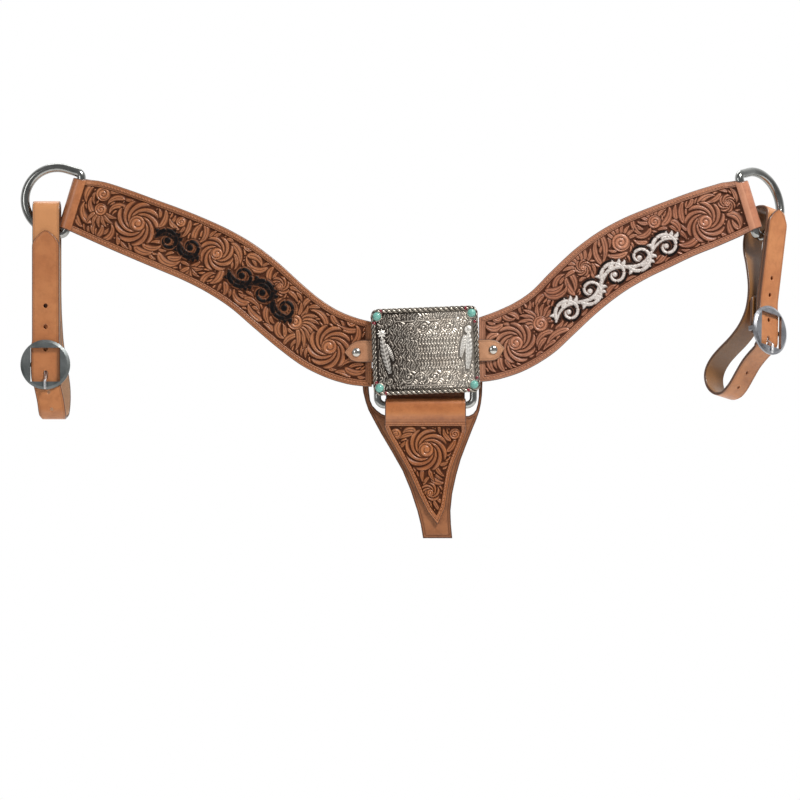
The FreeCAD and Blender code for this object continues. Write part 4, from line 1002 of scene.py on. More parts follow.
def tool_right():
    t = Relief(panel_polygon("right"))
    m, d = fold_mask("right", t.X, t.Z)
    t.free *= 1 - sstep(d, -6.6, -6.1)
    cen = []

    def ros(px, py, r, n=9, hand=1, turn=0.0):
        x, z = PX(px, py)
        t.rosette(x, z, r * 0.95, n, hand, turn)
        cen.append((x, z, r))

    def spi(px, py, r, hand=1, turns=2.2, turn=0.0, **k):
        x, z = PX(px, py)
        t.spiral(x, z, r * 0.95, hand, turns, turn, **k)
        cen.append((x, z, r))
    t.vine([PX(556, 322), PX(574, 306), PX(592, 291), PX(612, 275), PX(634, 262), PX(656, 250), PX(678, 239)], 5.2, 2.5, 1.55, ink=0.0, sil=1.0, coil=6.6, line=2.5)
    ros(515.7, 343, 20.5, 9, -1)
    ros(705, 222, 20.5, 9, -1)
    ros(727, 203.5, 9, 7, 1)
    ros(583, 268, 8.5, 7, 1)
    spi(540.7, 324, 7.5, -1)
    spi(621, 242.5, 9, 1)
    spi(654.6, 222, 6.5, -1)
    spi(497, 318, 4.8, 1)
    spi(541, 356, 4.8, 1)
    x, z = PX(540.7, 324)
    t.fan(x, z, 7.4, 200, 130, 5, 15, 2.3, curl=0.8, vein=0.7)
    t.fan(x, z, 7.4, 110, 20, 6, 13, 2.2, curl=-0.8, vein=0.7)
    x, z = PX(621, 242.5)
    t.fan(x, z, 9.0, 150, 30, 7, 9, 1.9, curl=-0.6, vein=0.6)
    x, z = PX(583, 268)
    t.fan(x, z, 8.3, 200, 60, 8, 12, 2.1, curl=0.7, vein=0.7)
    x, z = PX(654.6, 222)
    t.fan(x, z, 6.4, 190, 60, 6, 11, 2.0, curl=-0.8, vein=0.7)
    x, z = PX(640, 283)
    t.fan(x, z, 1.0, -170, 20, 6, 12, 2.1, curl=0.5, vein=0.8)
    x, z = PX(595, 316)
    t.fan(x, z, 1.0, -150, 40, 6, 13, 2.2, curl=0.5, vein=0.8)
    x, z = PX(705, 222)
    t.fan(x, z, 19.6, -95, -35, 5, 9, 1.9, curl=0.5, vein=0.6)
    along = lambda x: math.atan2(0.42, 1.0) if x > 180 else math.atan2(0.9, 1.0)
    flow = swirl(cen, along)
    t.fill(1800, 25, 3.3, flow, 0.9, 13, need=0.82, curl=1.7)
    t.fill(1600, 19, 2.9, flow, 0.9, 43, need=0.80, curl=1.3)
    t.fill(1600, 15, 2.5, flow, 0.8, 63, need=0.80, curl=1.0)
    t.fill(2200, 10, 1.75, flow, 0.6, 14, need=0.80, curl=0.9)
    t.fill(1500, 6.0, 1.1, flow, 0.0, 15, need=0.84)
    t.seeds(300, 0.7, 16)
    # painted highlight across the fold over the dee
    finish_panel(t, m, 0.25 + 0.7 * np.exp(-((d - 0.6) / 2.2) ** 2))
    return t


def finish_panel(t, m, shine=0.25):
    """Smooth plain fold beyond the mask with a painted highlight along it, painted shade in the crease at the fold's
    edge, matted ground.
    """
    deep = sstep(-t.H, 0.45, 0.7)
    k = 0.16 * (np.sin(t.X * 5.3 + 1.7 * np.sin(t.Z * 2.1)) * np.sin(t.Z * 5.9 + 1.3 * np.sin(t.X * 1.9)))
    t.H += deep * k
    # painted shade: a dark line in the crease where the fold meets the tooling
    g = m * (1 - m) * 4
    t.H = t.H * (1 - m) - 0.3 * g
    t.D = np.maximum(t.D * (1 - m), 0.8 * g)
    t.I *= 1 - m
    t.S *= 1 - m
    # painted highlight along the fold
    t.T = np.maximum(t.T * (1 - m), m * shine)


def relief_disp(t, limit=None):
    def disp(F, df):
        h = t.at(t.H, F[..., 0], F[..., 2])
        return h if limit is None else h * limit(F)
    return disp


def relief_attrs(t, limit=None, tone_and_highlight=1.0):
    def attrs(F, df):
        x, z = F[..., 0], F[..., 2]
        k = 1.0 if limit is None else limit(F)
        return {"dark": t.at(t.D, x, z) * k, "ink": t.at(t.I, x, z) * k, "leaf": t.at(t.S, x, z) * k, "tone_and_highlight": t.at(t.T, x, z) * k * tone_and_highlight}
    return attrs


NROW = 500
threads = {}
reliefs = {}
for side, tooler, mat in (("left", tool_left, M_LEFT), ("right", tool_right, M_RIGHT)):
    sgn = -1 if side == "left" else 1
    tool = reliefs[side] = tooler()
    for which in ("top", "bottom"):
        stitch_holes(tool, stitch_line(side, which))
    top, bot = shoulder_rows(side, NROW)
    A = np.column_stack([top[:, 0], np.full(NROW, -10.3), top[:, 1]])
    B = np.column_stack([bot[:, 0], np.full(NROW, -10.3), bot[:, 1]])
    fa, fb = fold_rows(side, 5.9, -10.3, -4.8, -27.0)
    A, B = np.vstack([A, fa]), np.vstack([B, fb])
    rows = len(A)
    lim_row = np.zeros(rows)
    lim_row[:NROW + 34] = 1.0

    def limit(F, lim_row=lim_row):
        return np.broadcast_to(lim_row[:, None], F.shape[:2])
    face = strip(side + "_shoulder_leather", A, B, 1.6, 1.5, 146, 1.3, 0.3, (0, -1, 0), relief_disp(tool, limit), relief_attrs(tool, limit, 0.45 if side == "left" else 1.0), mat, flesh_back=True)
    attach(face, side + "_shoulder")
    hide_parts(side + "_shoulder_face")

    # lining, a little inside the face's outline
    nl = 200
    t2, b2 = shoulder_rows(side, nl)
    mid = (t2 + b2) / 2
    w = b2 - t2
    w /= np.linalg.norm(w, axis=1)[:, None]
    t2, b2 = t2 + w * 0.25, b2 - w * 0.25
    k = 8
    e = ENDS[side]
    C, u, o = np.array(e["C"]), np.array(e["u"]), np.array(e["o"])
    ext = []
    for ov in np.linspace(-15, -8, k):
        f = (ov + 16) / 8.6
        ext.append((C + u * (e["at"][0] + (e["near"][0] - e["at"][0]) * f - 0.25) + o * ov, C + u * (e["at"][1] + (e["near"][1] - e["at"][1]) * f + 0.25) + o * ov))
    t2 = np.vstack([t2, [p[0] for p in ext]])
    b2 = np.vstack([b2, [p[1] for p in ext]])
    yl = np.full(len(t2), -7.55)
    lin = strip(side + "_shoulder_lining_leather", np.column_stack([t2[:, 0], yl, t2[:, 1]]), np.column_stack([b2[:, 0], yl, b2[:, 1]]),
                1.13, 1.12, 40, 0.25, 0.9, (0, -1, 0), mat=M_BAND, flesh_back=True, nback=60)
    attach(lin, side + "_shoulder")
    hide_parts(side + "_shoulder_lining")

    # stitching along both edges, front and back
    th = Mesh()
    for which in ("top", "bottom"):
        off = stitch_line(side, which)
        path = np.column_stack([off[:, 0], np.full(len(off), -11.9), off[:, 1]])
        stitches(th, path, (0, -1, 0), lift=0.02)
        path[:, 1] = -6.4
        stitches(th, path, (0, 1, 0), lift=0.02)
    st = th.build(side + "_shoulder_stitching")
    st.data.materials.append(M_THREAD)
    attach(st, side + "_shoulder")


# ------------------------------------------------------------------ tabs
def outline_at(top, bot, x):
    """Upper and lower z of an outline at x, for outlines that run out to a shared tip."""
    t, b = np.array(top), np.array(bot)
    o1, o2 = np.argsort(t[:, 0]), np.argsort(b[:, 0])
    return np.interp(x, t[o1, 0], t[o1, 1]), np.interp(x, b[o2, 0], b[o2, 1])


TABS = {"left": ([(-40, 10.6), (-60.5, 10.4), (-66.5, 9.4), (-70.6, 6.9), (-77, -1.2)], [(-40, -10.6), (-60.5, -10.9), (-66.5, -10.6), (-70.6, -9.0), (-77, -1.6)], -77, -45.6),
        "right": ([(40, 10.8), (61.0, 11.1), (66.0, 10.4), (69.8, 8.6), (75.5, 2.8)], [(40, -10.4), (60.5, -9.9), (65.5, -9.2), (69.5, -7.2), (75.5, 2.2)], 75.5, 45.6)}
for side, (tp, bt, tip, bar) in TABS.items():
    sg = math.copysign(1, tip)
    xs = [abs(tip) - q for q in (0.05, 0.3, 0.7, 1.2, 1.8, 2.6, 3.6, 4.8, 6.2, 8, 10, 12)] + list(np.linspace(abs(tip) - 14, abs(bar), 16))
    A, B = [], []
    for x in xs:
        z1, z0 = outline_at(tp, bt, sg * x)
        yf = -13.66 + 0.61 * sstep(np.array(abs(x) - abs(bar)), 2.0, 9.5)
        A.append((sg * x, yf, z1))
        B.append((sg * x, yf, z0))
    for a in np.linspace(0, math.pi, 22)[1:-1]:
        x = bar - sg * 4.7 * math.sin(a)
        yy = -9 - 4.66 * math.cos(a)
        A.append((x, yy, 10.6))
        B.append((x, yy, -10.6))
    for x in xs[::-1]:
        z1, z0 = outline_at(tp, bt, sg * x)
        g = sstep(np.array(abs(x) - abs(bar)), 2.0, 9.5)
        A.append((sg * x, -4.34 + (-5.25 + 4.34) * g, z1))
        B.append((sg * x, -4.34 + (-5.25 + 4.34) * g, z0))

    def line_in(F, df):
        return -0.16 * np.exp(-((df - 2.3) / 0.4) ** 2)

    def tab_attrs(F, df):
        g = np.exp(-((df - 2.3) / 0.35) ** 2) * 0.35
        return {"dark": g, "ink": g * 0, "leaf": g * 0}
    tab = strip(side + "_tab_leather", A, B, 1.05, 1.05, 44, 0.85, 0.6, (0, -1, 0), line_in, tab_attrs, M_TAB, flesh_back=True)
    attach(tab, side + "_shoulder")
    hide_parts(side + "_tab")


# ------------------------------------------------------------------ drop strap
OV_L = [(-38.3, -40.0), (-38.5, -62.0), (-38.9, -72.2), (-34.7, -81.7), (-26.6, -95.9), (-15.2, -116.4), (-6.6, -135.8), (1.9, -152.5), (11.3, -164.8)]
OV_R = [(38.3, -40.0), (38.5, -62.0), (38.8, -76.0), (34.5, -88.9), (28.5, -103.1), (24.2, -116.2), (21.4, -132.5), (19.0, -148.5), (11.9, -164.8)]


def arc_path(pts, radii, step=1.0):
    """A polyline with rounded corners, resampled."""
    p = [np.array(q, float) for q in pts]
    out = [p[0]]
    for i in range(1, len(p) - 1):
        a, b, c = p[i - 1], p[i], p[i + 1]
        u, v = (a - b) / np.linalg.norm(a - b), (c - b) / np.linalg.norm(c - b)
        ang = math.acos(np.clip(u @ v, -1, 1))
        r = radii[i - 1]
        cut = r / math.tan(ang / 2)
        m = 0.499 * min(np.linalg.norm(a - b) * (2 if i == 1 else 1), np.linalg.norm(c - b) * (2 if i == len(p) - 2 else 1))
        if cut > m:
            r, cut = r * m / cut, m
        s, e = b + u * cut, b + v * cut
        bis = (u + v) / np.linalg.norm(u + v)
        cen = b + bis * (r / math.sin(ang / 2))
        a0 = math.atan2(*(s - cen)[::-1])
        a1 = math.atan2(*(e - cen)[::-1])
        da = (a1 - a0 + math.pi) % (2 * math.pi) - math.pi
        k = max(4, int(abs(da) * r / 0.7))
        for f in np.linspace(0, 1, k):
            out.append(cen + r * np.array([math.cos(a0 + da * f), math.sin(a0 + da * f)]))
    out.append(p[-1])
    out = np.array(out)
    keep = np.r_[True, np.linalg.norm(np.diff(out, axis=0), axis=1) > 1e-5]
    out = out[keep]
    L = np.linalg.norm(np.diff(out, axis=0), axis=1).sum()
    return resample(out, int(L / step) + 2)


yz = arc_path([(-6.1, -71), (-6.1, -63.6), (-4.1, -54.5), (-4.1, -46.4), (-13.9, -46.4), (-13.9, -60), (-5.9, -78), (-5.9, -164.6)], [12, 12, 4.88, 4.88, 14, 14], 0.5)
half = [np.interp(-z_, [-q[1] for q in OV_R], [q[0] for q in OV_R]) for _, z_ in yz]
left = [np.interp(-z_, [-q[1] for q in OV_L], [q[0] for q in OV_L]) for _, z_ in yz]
front_row = np.zeros(len(yz))
turn_i = int(np.argmax(yz[:, 1]))
front_row[turn_i:] = 1.0
lw = np.array([l_ if f_ else -38.3 for l_, f_ in zip(left, front_row)])
rw = np.array([h_ if f_ else 38.3 for h_, f_ in zip(half, front_row)])
DROP_POLY = np.vstack([[(-38.7, -66.6)], [q for q in OV_L if q[1] < -70], [q for q in OV_R[::-1] if q[1] < -70], [(38.5, -66.6)]])


def tool_drop():
    t = Relief(DROP_POLY, border=4.4)
    # no groove lines across the fold; a row of holes is cut there instead
    x, z = PX(426, 450)
    t.rosette(x, z, 20.5, 8, 1, sweep=2.1)
    x2, z2 = PX(430, 493)
    t.rosette(x2, z2, 9.5, 6, -1, sweep=2.0)
    x3, z3 = PX(396, 434)
    t.spiral(x3, z3, 5.2, 1)
    x4, z4 = PX(455, 434)
    t.spiral(x4, z4, 5.2, -1)
    t.fan(x, z, 19.6, -60, -120, 4, 12, 2.1, curl=0.6, vein=0.7)
    t.fan(x2, z2, 9.0, -40, -140, 5, 13, 1.9, curl=0.5, vein=0.7)
    cen = [(x, z, 20), (x2, z2, 9), (x3, z3, 6), (x4, z4, 6)]
    flow = swirl(cen, lambda q: -math.pi / 2)
    t.fill(700, 17, 2.8, flow, 0.9, 23, need=0.80, curl=1.1)
    t.fill(900, 10.5, 1.9, flow, 0.7, 24, need=0.80)
    t.fill(700, 6.0, 1.1, flow, 0.0, 25, need=0.84)
    t.seeds(120, 0.7, 26)
    finish_panel(t, np.zeros_like(t.H))
    for line, s in (([q for q in OV_L if q[1] < -70], 1), ([q for q in OV_R if q[1] < -70], -1)):
        stitch_holes(t, offset_line(smooth_curve(line, 120), 3.35 * s)[:104])
    top = sstep(t.Z, -71.0, -70.2)
    t.H = t.H * (1 - top)
    t.D = t.D * (1 - top)
    return t


reliefs["drop"] = tool_drop()


def drop_limit(F):
    k = np.broadcast_to(front_row[:, None], F.shape[:2])
    return k * (1 - sstep(F[..., 2], -70.4, -69.4))


def drop_disp(F, df):
    band = np.broadcast_to(front_row[:, None], F.shape[:2]) * sstep(F[..., 2], -70.4, -69.4)
    z = F[..., 2]
    g = -0.22 * np.exp(-((z + 67.2) / 0.45) ** 2) - 0.15 * np.exp(-((z + 69.4) / 0.5) ** 2)
    return reliefs["drop"].at(reliefs["drop"].H, F[..., 0], z) * drop_limit(F) + g * np.broadcast_to(front_row[:, None], F.shape[:2])


def drop_attrs(F, df):
    a = relief_attrs(reliefs["drop"], drop_limit, 0.3)(F, df)
    z = F[..., 2]
    fr = np.broadcast_to(front_row[:, None], F.shape[:2])
    x = F[..., 0]
    dots = np.exp(-((z + 69.4) / 0.55) ** 2) * np.exp(-(((x / 2.6 - np.round(x / 2.6)) / 0.2) ** 2)) * (np.abs(x) < 36)
    # painted highlight across the bend of the fold band at z -59.3, and painted shade in a line on the slope below it
    # at z -65; the dots are stitch holes and the lines at -67.2 and -69.4 are grooves
    a["tone_and_highlight"] = np.maximum(a["tone_and_highlight"] * 1.0, fr * 0.55 * np.exp(-((z + 59.3) / 2.6) ** 2))
    a["dark"] = np.maximum(a["dark"], fr * (0.9 * dots + 0.2 * np.exp(-((z + 65.0) / 1.0) ** 2)))
    a["dark"] = np.maximum(a["dark"], fr * (0.6 * np.exp(-((z + 67.2) / 0.5) ** 2) + 0.5 * np.exp(-((z + 69.4) / 0.6) ** 2)))
    return a


A = np.column_stack([lw, yz[:, 0], yz[:, 1]])
B = np.column_stack([rw, yz[:, 0], yz[:, 1]])
drop = strip("drop_leather", A, B, 1.3, 1.3, 150, 1.0, 0.6, (0, 1, 0), drop_disp, drop_attrs, M_DROP)
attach(drop, "drop_strap")
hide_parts("drop_face")

th = Mesh()
xs = np.linspace(-35.5, 35.5, 60)
yy = np.interp(69.4, -yz[turn_i:, 1], yz[turn_i:, 0]) - 1.3
sl = (np.interp(70.4, -yz[turn_i:, 1], yz[turn_i:, 0]) - np.interp(68.4, -yz[turn_i:, 1], yz[turn_i:, 0])) / 2.0
up = np.array([0, -1.0, -sl])
up /= np.linalg.norm(up)
stitches(th, np.column_stack([xs, np.full(60, yy), np.full(60, -69.4)]), up, pitch=2.6, length=1.8, r=0.3, lift=-0.05)
for line, s in (([q for q in OV_L if q[1] < -70], 1), ([q for q in OV_R if q[1] < -70], -1)):
    c = smooth_curve(line, 120)
    off = offset_line(c, 3.35 * s)
    off = off[: 104]
    yv = np.interp(-off[:, 1], -yz[turn_i:, 1], yz[turn_i:, 0]) - 1.3
    stitches(th, np.column_stack([off[:, 0], yv, off[:, 1]]), (0, -1, 0), lift=0.02)
st = th.build("drop_stitching")
st.data.materials.append(M_THREAD)
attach(st, "drop_strap")


# ------------------------------------------------------------------ safe, arms and drop lining in one leather
from mathutils.geometry import delaunay_2d_cdt

LIN_L = [(-51.5, -61.5), (-48.4, -67.3), (-42.6, -78.0), (-31.7, -96.5), (-21.8, -114.0), (-14.2, -132.5), (-7.7, -152.2), (-4.5, -165.2), (-2.3, -178.3)]
LIN_R = [(25.6, -178.3), (24.4, -165.2), (23.9, -152.2), (25.6, -135.8), (29.4, -118.4), (33.7, -103.1), (39.1, -88.9), (44.6, -74.8), (48.2, -66.2), (49.9, -61.5)]
outer = [(-43, 27), (-43, -16), (-60.2, -16), (-60.1, -30.4), (-59.4, -38.9), (-57.0, -48.5), (-54.4, -56.0)] + LIN_L + LIN_R + \
        [(51.6, -56.5), (53.0, -50.0), (54.0, -42.0), (54.4, -32.0), (54.6, -16.0), (43, -16), (43, 27)]
inner = [(-54.1, -32), (-43, -32), (-43, -38), (-37.6, -38), (-37.6, -46.4), (37.6, -46.4), (37.6, -38), (43, -38), (43, -32), (50.9, -32), (50.9, -43), (49.9, -50.5), (48.3, -56.0), (45.5, -59.6), (41.5, -61.6),
         (36.0, -62.0), (-36.0, -62.0), (-41.5, -59.9), (-46.3, -56.4), (-50.4, -52.0), (-52.6, -47.0), (-53.7, -38.9)]


def dense(poly, step):
    out = []
    p = np.asarray(poly, float)
    for a, b in zip(p, np.roll(p, -1, 0)):
        k = max(1, int(np.linalg.norm(b - a) / step))
        for f in range(k):
            out.append(a + (b - a) * f / k)
    return np.array(out)


def flat_leather(name, outer, hole, mid_y, thick, r, groove, mat, step=1.4):
    """Flat leather cut to an outline, with a hole, rounded edges and a groove near its edge. mid_y gives y over z."""
    def dist(X, Z):
        d = poly_dist(outer, X, Z)
        if hole is not None:
            d = np.minimum(d, -poly_dist(hole, X, Z))
        return d
    loops = [dense(outer, step)] + ([dense(hole, step)] if hole is not None else [])
    pts, edges = [], []
    for lp in loops:
        s = len(pts)
        pts += [tuple(q) for q in lp]
        edges += [(s + i, s + (i + 1) % len(lp)) for i in range(len(lp))]
    nb = len(pts)
    # rings just inside the edge
    for lp in loops:
        q = np.roll(lp, -1, 0) - np.roll(lp, 1, 0)
        q /= np.linalg.norm(q, axis=1)[:, None]
        nn = np.stack([-q[:, 1], q[:, 0]], 1)
        for off in (0.3, 0.8, 1.4, 2.2, 2.7, 3.2):
            for s in (1, -1):
                c = lp + nn * off * s
                d = dist(c[:, 0], c[:, 1])
                ok = d > off * 0.9
                pts += [tuple(v) for v in c[ok]]
    lo, hi = np.min(outer, axis=0), np.max(outer, axis=0)
    gx, gz = np.meshgrid(np.arange(lo[0], hi[0], step * 1.3), np.arange(lo[1], hi[1], step * 1.3))
    gx = gx + (np.arange(gx.shape[0]) % 2)[:, None] * step * 0.65
    d = dist(gx, gz)
    ok = d > 3.6
    pts += list(zip(gx[ok], gz[ok]))
    vo, eo, fo, *_ = delaunay_2d_cdt([Vector((float(a), float(b))) for a, b in pts], edges, [], 0, 1e-4)
    P = np.array([(v.x, v.y) for v in vo])
    fo = [f for f in fo if len(f) == 3]
    cen = np.array([P[list(f)].mean(0) for f in fo])
    keep = dist(cen[:, 0], cen[:, 1]) > 1e-3
    tri = [f for f, k in zip(fo, keep) if k]
    dv = np.maximum(dist(P[:, 0], P[:, 1]), 0)
    used = sorted({i for f in tri for i in f})
    remap = {o_: n_ for n_, o_ in enumerate(used)}
    P, dv = P[used], dv[used]
    tri = [tuple(remap[i] for i in f) for f in tri]
    ym = mid_y(P[:, 1])
    g = groove * np.exp(-((dv - 2.7) / 0.45) ** 2)
    yf = ym - (thick / 2 - edge_drop(dv, r) - g)
    yb = ym + (thick / 2 - edge_drop(dv, r))
    n = len(P)
    v = np.vstack([np.column_stack([P[:, 0], yf, P[:, 1]]), np.column_stack([P[:, 0], yb, P[:, 1]])])
    faces = [tuple(f) for f in tri] + [tuple(i + n for i in f[::-1]) for f in tri]
    cnt = {}
    for f in tri:
        for a, b in ((f[0], f[1]), (f[1], f[2]), (f[2], f[0])):
            cnt[(a, b)] = cnt.get((a, b), 0) + 1
    for (a, b) in cnt:
        if (b, a) not in cnt:
            faces.append((b, a, a + n, b + n))
    ob = make_object(name, v, faces)
    fix_normals(ob)
    e = 1 - sstep(dv, 0.5, 1.2)
    set_attr(ob, "edge", np.r_[e, e])
    set_attr(ob, "flesh", np.r_[np.zeros(n), np.ones(n)])
    gd = np.maximum(0.75 * np.exp(-((dv - 2.7) / 0.5) ** 2), 0.42 * (1 - sstep(dv, 0.8, 2.4)))
    set_attr(ob, "dark", np.r_[gd, np.zeros(n)])
    ob.data.materials.append(mat)
    return ob, dist


def lining_y(z):
    k = sstep(-np.asarray(z), 54.0, 66.0)
    return -1.0 + (-3.1 + 1.0) * k


low, _ = flat_leather("safe_and_drop_lining", outer, inner, lining_y, 2.1, 0.85, 0.3, M_BAND)
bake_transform(low)
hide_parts("ring_safe", "drop_lining")


# ------------------------------------------------------------------ tugs
BASE = {"left": dict(o=np.array([-360.0, -9.0, 117.2]), x=np.array([1.0, 0, 0]), y=np.array([0, 1.0, 0]), z=np.array([0, 0, 1.0]), bar=(4.7, -130.3), lean=0.0)}
wx = np.array([0.72691, 0.65451, -0.20791])
wx /= np.linalg.norm(wx)
wy = np.array([-math.sin(math.radians(42)), math.cos(math.radians(42)), 0.0])
BASE["right"] = dict(o=np.array([326.337, 1.912, 112.058]), x=wx, y=wy, z=np.cross(wx, wy), bar=(11.6, -96.2), lean=-9.0)
WR, GAP = 3.5, 3.1


def tug_point(side, x, n, z):
    b = BASE[side]
    x, n, z = np.broadcast_arrays(np.asarray(x, float), np.asarray(n, float), np.asarray(z, float))
    return b["o"] + x[..., None] * b["x"] - n[..., None] * b["y"] + z[..., None] * b["z"]


def tug_loc(side, n, z):
    b = BASE[side]
    a = math.radians(-b["lean"])
    return b["bar"][0] + n * math.cos(a) - z * math.sin(a), b["bar"][1] + n * math.sin(a) + z * math.cos(a)


def drift(side, n, z):
    """Sideways lean of the left tug towards its bottom loop; its back layer stands a little further out."""
    n, z = np.asarray(n, float), np.asarray(z, float)
    if side == "right":
        return np.zeros_like(z)
    fr = np.interp(-z, [0, 140, 146, 154, 165, 182], [0, 0, 0.6, 2.4, 4.9, 7.0])
    bk = np.interp(-z, [0, 62, 80, 107, 125, 140, 152, 165, 176, 182], [0, 0, 0.4, 2.0, 4.6, 7.2, 8.8, 9.0, 8.0, 7.0])
    t = sstep(n, -8.4, 11.3)
    return bk * (1 - t) + fr * t


def apply_boolean(ob, cutter, op="DIFFERENCE"):
    m = ob.modifiers.new("cut", "BOOLEAN")
    m.object = cutter
    m.operation = op
    m.solver = "EXACT"
    dg = bpy.context.evaluated_depsgraph_get()
    dg.update()
    me = bpy.data.meshes.new_from_object(ob.evaluated_get(dg), preserve_all_data_layers=True, depsgraph=dg)
    ob.modifiers.clear()
    old = ob.data
    ob.data = me
    me.name = old.name
    bpy.data.meshes.remove(old)
    bpy.data.objects.remove(cutter, do_unlink=True)
    return ob


def cyl(mesh, a, b, r, sides=20):
    a, b = np.asarray(a, float), np.asarray(b, float)
    d = (b - a) / np.linalg.norm(b - a)
    u = np.cross(d, [0.3, 0.2, 0.9])
    u /= np.linalg.norm(u)
    w = np.cross(d, u)
    t = np.linspace(0, 2 * math.pi, sides, endpoint=False)
    ring = r * (np.cos(t)[:, None] * u + np.sin(t)[:, None] * w)
    v = np.vstack([a + ring, b + ring])
    f = [(j, (j + 1) % sides, sides + (j + 1) % sides, sides + j) for j in range(sides)]
    f += [tuple(range(sides))[::-1], tuple(range(sides, 2 * sides))]
    mesh.add(v, f)


def block(mesh, corners):
    """Eight corners: four of one end, then four of the other."""
    mesh.add(corners, [(0, 1, 2, 3)[::-1], (4, 5, 6, 7), (0, 1, 5, 4), (1, 2, 6, 5), (2, 3, 7, 6), (3, 0, 4, 7)])


TUGS = {}
lc = lambda n, z: tug_loc("left", n, z)
rc = lambda n, z: tug_loc("right", n, z)
TUGS["left"] = ([lc(-WR, 44), lc(-WR, -WR), lc(WR, -WR), (8.2, 23.9), (-8.4, 23.9), (-8.4, -180.8), (11.3, -180.8), (11.3, -3.2)],
                [3.49, 3.49, 8.2, 8.2, 9.6, 9.6])
TUGS["right"] = ([rc(-WR, 34), rc(-WR, -WR), rc(WR, -WR), rc(WR, 30), (7.6, 24), (-11, 24), (-14.6, 8), rc(WR + GAP, -11), rc(WR + GAP, 30), (10.6, 23)],
                 [3.49, 3.49, 60, 8.2, 8.2, 60])

for side in ("left", "right"):
    pts, radii = TUGS[side]
    if side == "left":
        mid = arc_path(pts, radii, 1.3)
    else:
        # the loop below the buckle hangs in one soft curve
        head = arc_path(pts[:7], radii[:5], 1.3)
        tail = arc_path(pts[7:], radii[5:], 1.3)
        loop = smooth_curve([tuple(head[-1]), (-17.4, -6), (-15.4, -19.2), (-10.4, -31), (-5.8, -43.5), (-2.6, -55), (-1.4, -67), (-2.4, -79), (-7.8, -92),
                             (-17.2, -104), (-29.2, -115.0), (-37.2, -123.5), (-42.2, -133), (-42.4, -142), (-37.6, -151.4), (-28, -158.0), (-17.8, -157.2),
                             (-9.8, -149.7), (-3.0, -137.7), (3.0, -127.4), (9.8, -119.4), (16.4, -112.8), tuple(tail[0])], 230)
        mid = resample(np.vstack([head[:-1], loop, tail[1:]]), 430)
        for _ in range(2):
            mid[1:-1] = (mid[:-2] + 2 * mid[1:-1] + mid[2:]) / 4
    n = len(mid)
    dist_end = np.r_[0, np.cumsum(np.linalg.norm(np.diff(mid, axis=0), axis=1))]
    total = dist_end[-1]
    hw = np.full(n, 12.95)
    tipd = total - dist_end
    tip = tipd < 15.0
    # pointed billet end
    hw = np.where(tip, np.minimum(12.95, 1.6 + 11.35 * np.sin(np.clip(tipd / 15.0, 0, 1) * math.pi / 2) ** 0.85), hw)
    st_ = dist_end < 4.0
    hw = np.where(st_, 12.95 - 3.0 * (1 - np.clip(dist_end / 4.0, 0, 1)) ** 2, hw)
    if side == "left":
        start = mid[-1]
    sh = drift(side, mid[:, 0], mid[:, 1])
    if side == "left":
        sh = np.convolve(np.pad(sh, 4, "edge"), np.ones(9) / 9, "valid")
    # the strap fills the buckle, and draws in where it bends round the bottom
    lb = np.array(BASE[side]["bar"])
    ca, sa_ = math.cos(math.radians(-BASE[side]["lean"])), math.sin(math.radians(-BASE[side]["lean"]))
    nr_ = (mid[:, 0] - lb[0]) * ca + (mid[:, 1] - lb[1]) * sa_
    zr_ = -(mid[:, 0] - lb[0]) * sa_ + (mid[:, 1] - lb[1]) * ca
    late = np.arange(n) > n // 2
    hw = hw + 1.05 * late * (nr_ > 3.0) * sstep(zr_, -21, -15) * (1 - sstep(zr_, 15, 24))
    low_z = mid[:, 1].min()
    hw = hw - (1.5 if side == "left" else 0.8) * sstep(-mid[:, 1], -low_z - 4.2, -low_z) ** 1.5
    A = tug_point(side, sh - hw, mid[:, 0], mid[:, 1])
    B = tug_point(side, sh + hw, mid[:, 0], mid[:, 1])

    def crease(F, df):
        return -0.14 * np.exp(-((df - 2.2) / 0.4) ** 2)

    top_i = int(np.argmax(mid[:n // 2, 1])) if side == "left" else int(np.argmax(mid[:n // 2, 1]))
    tone_row = np.zeros(n)
    tone_row[:top_i] = 1.0
    tone_row = np.convolve(np.pad(tone_row, 6, "edge"), np.ones(13) / 13, "valid")

    def crease_attr(F, df, tone_row=tone_row):
        g = 0.45 * np.exp(-((df - 2.2) / 0.38) ** 2)
        return {"dark": g, "ink": g * 0, "leaf": g * 0, "tone_and_highlight": np.broadcast_to(tone_row[:, None], g.shape).copy()}
    tug = strip(side + "_tug_leather", A, B, 1.4, 1.4, 40, 1.1, 0.9, tuple(BASE[side]["y"]), crease, crease_attr, M_PLAIN_L if side == "left" else M_PLAIN, flesh_back=True, nback=26)
    cut = Mesh()
    b1_ = np.array(rc(WR + GAP, 30))
    dr_ = (np.array((10.6, 23)) - b1_) / np.linalg.norm(np.array((10.6, 23)) - b1_)
    if side == "left":
        for z in (-74.5, -94.4, -115.5, -156.2, -172.6):
            dx = float(drift(side, 11.3, z))
            cyl(cut, tug_point(side, dx, 9.4, z), tug_point(side, dx, 15.0, z), 1.7 if z < -150 else 2.1)
    else:
        spots = [np.array(rc(WR + GAP, 10.3)), b1_ + dr_ * 4.3, b1_ + dr_ * 22.0]
        half = mid[n // 2:]
        spots += [half[int(np.argmin(np.abs(half[:, 1] - z) + 100.0 * (half[:, 0] < -25)))] for z in (-134.6, -149.0)]
        for c in spots:
            i = n // 2 + int(np.argmin(np.linalg.norm(half - c, axis=1)))
            tg = mid[min(i + 2, n - 1)] - mid[i - 2]
            nr = np.array([tg[1], -tg[0]]) / np.linalg.norm(tg)
            a, b = mid[i] - nr * 1.9, mid[i] + nr * 4
            cyl(cut, tug_point(side, 0, a[0], a[1]), tug_point(side, 0, b[0], b[1]), 1.65 if c[1] < -120 else 2.1)
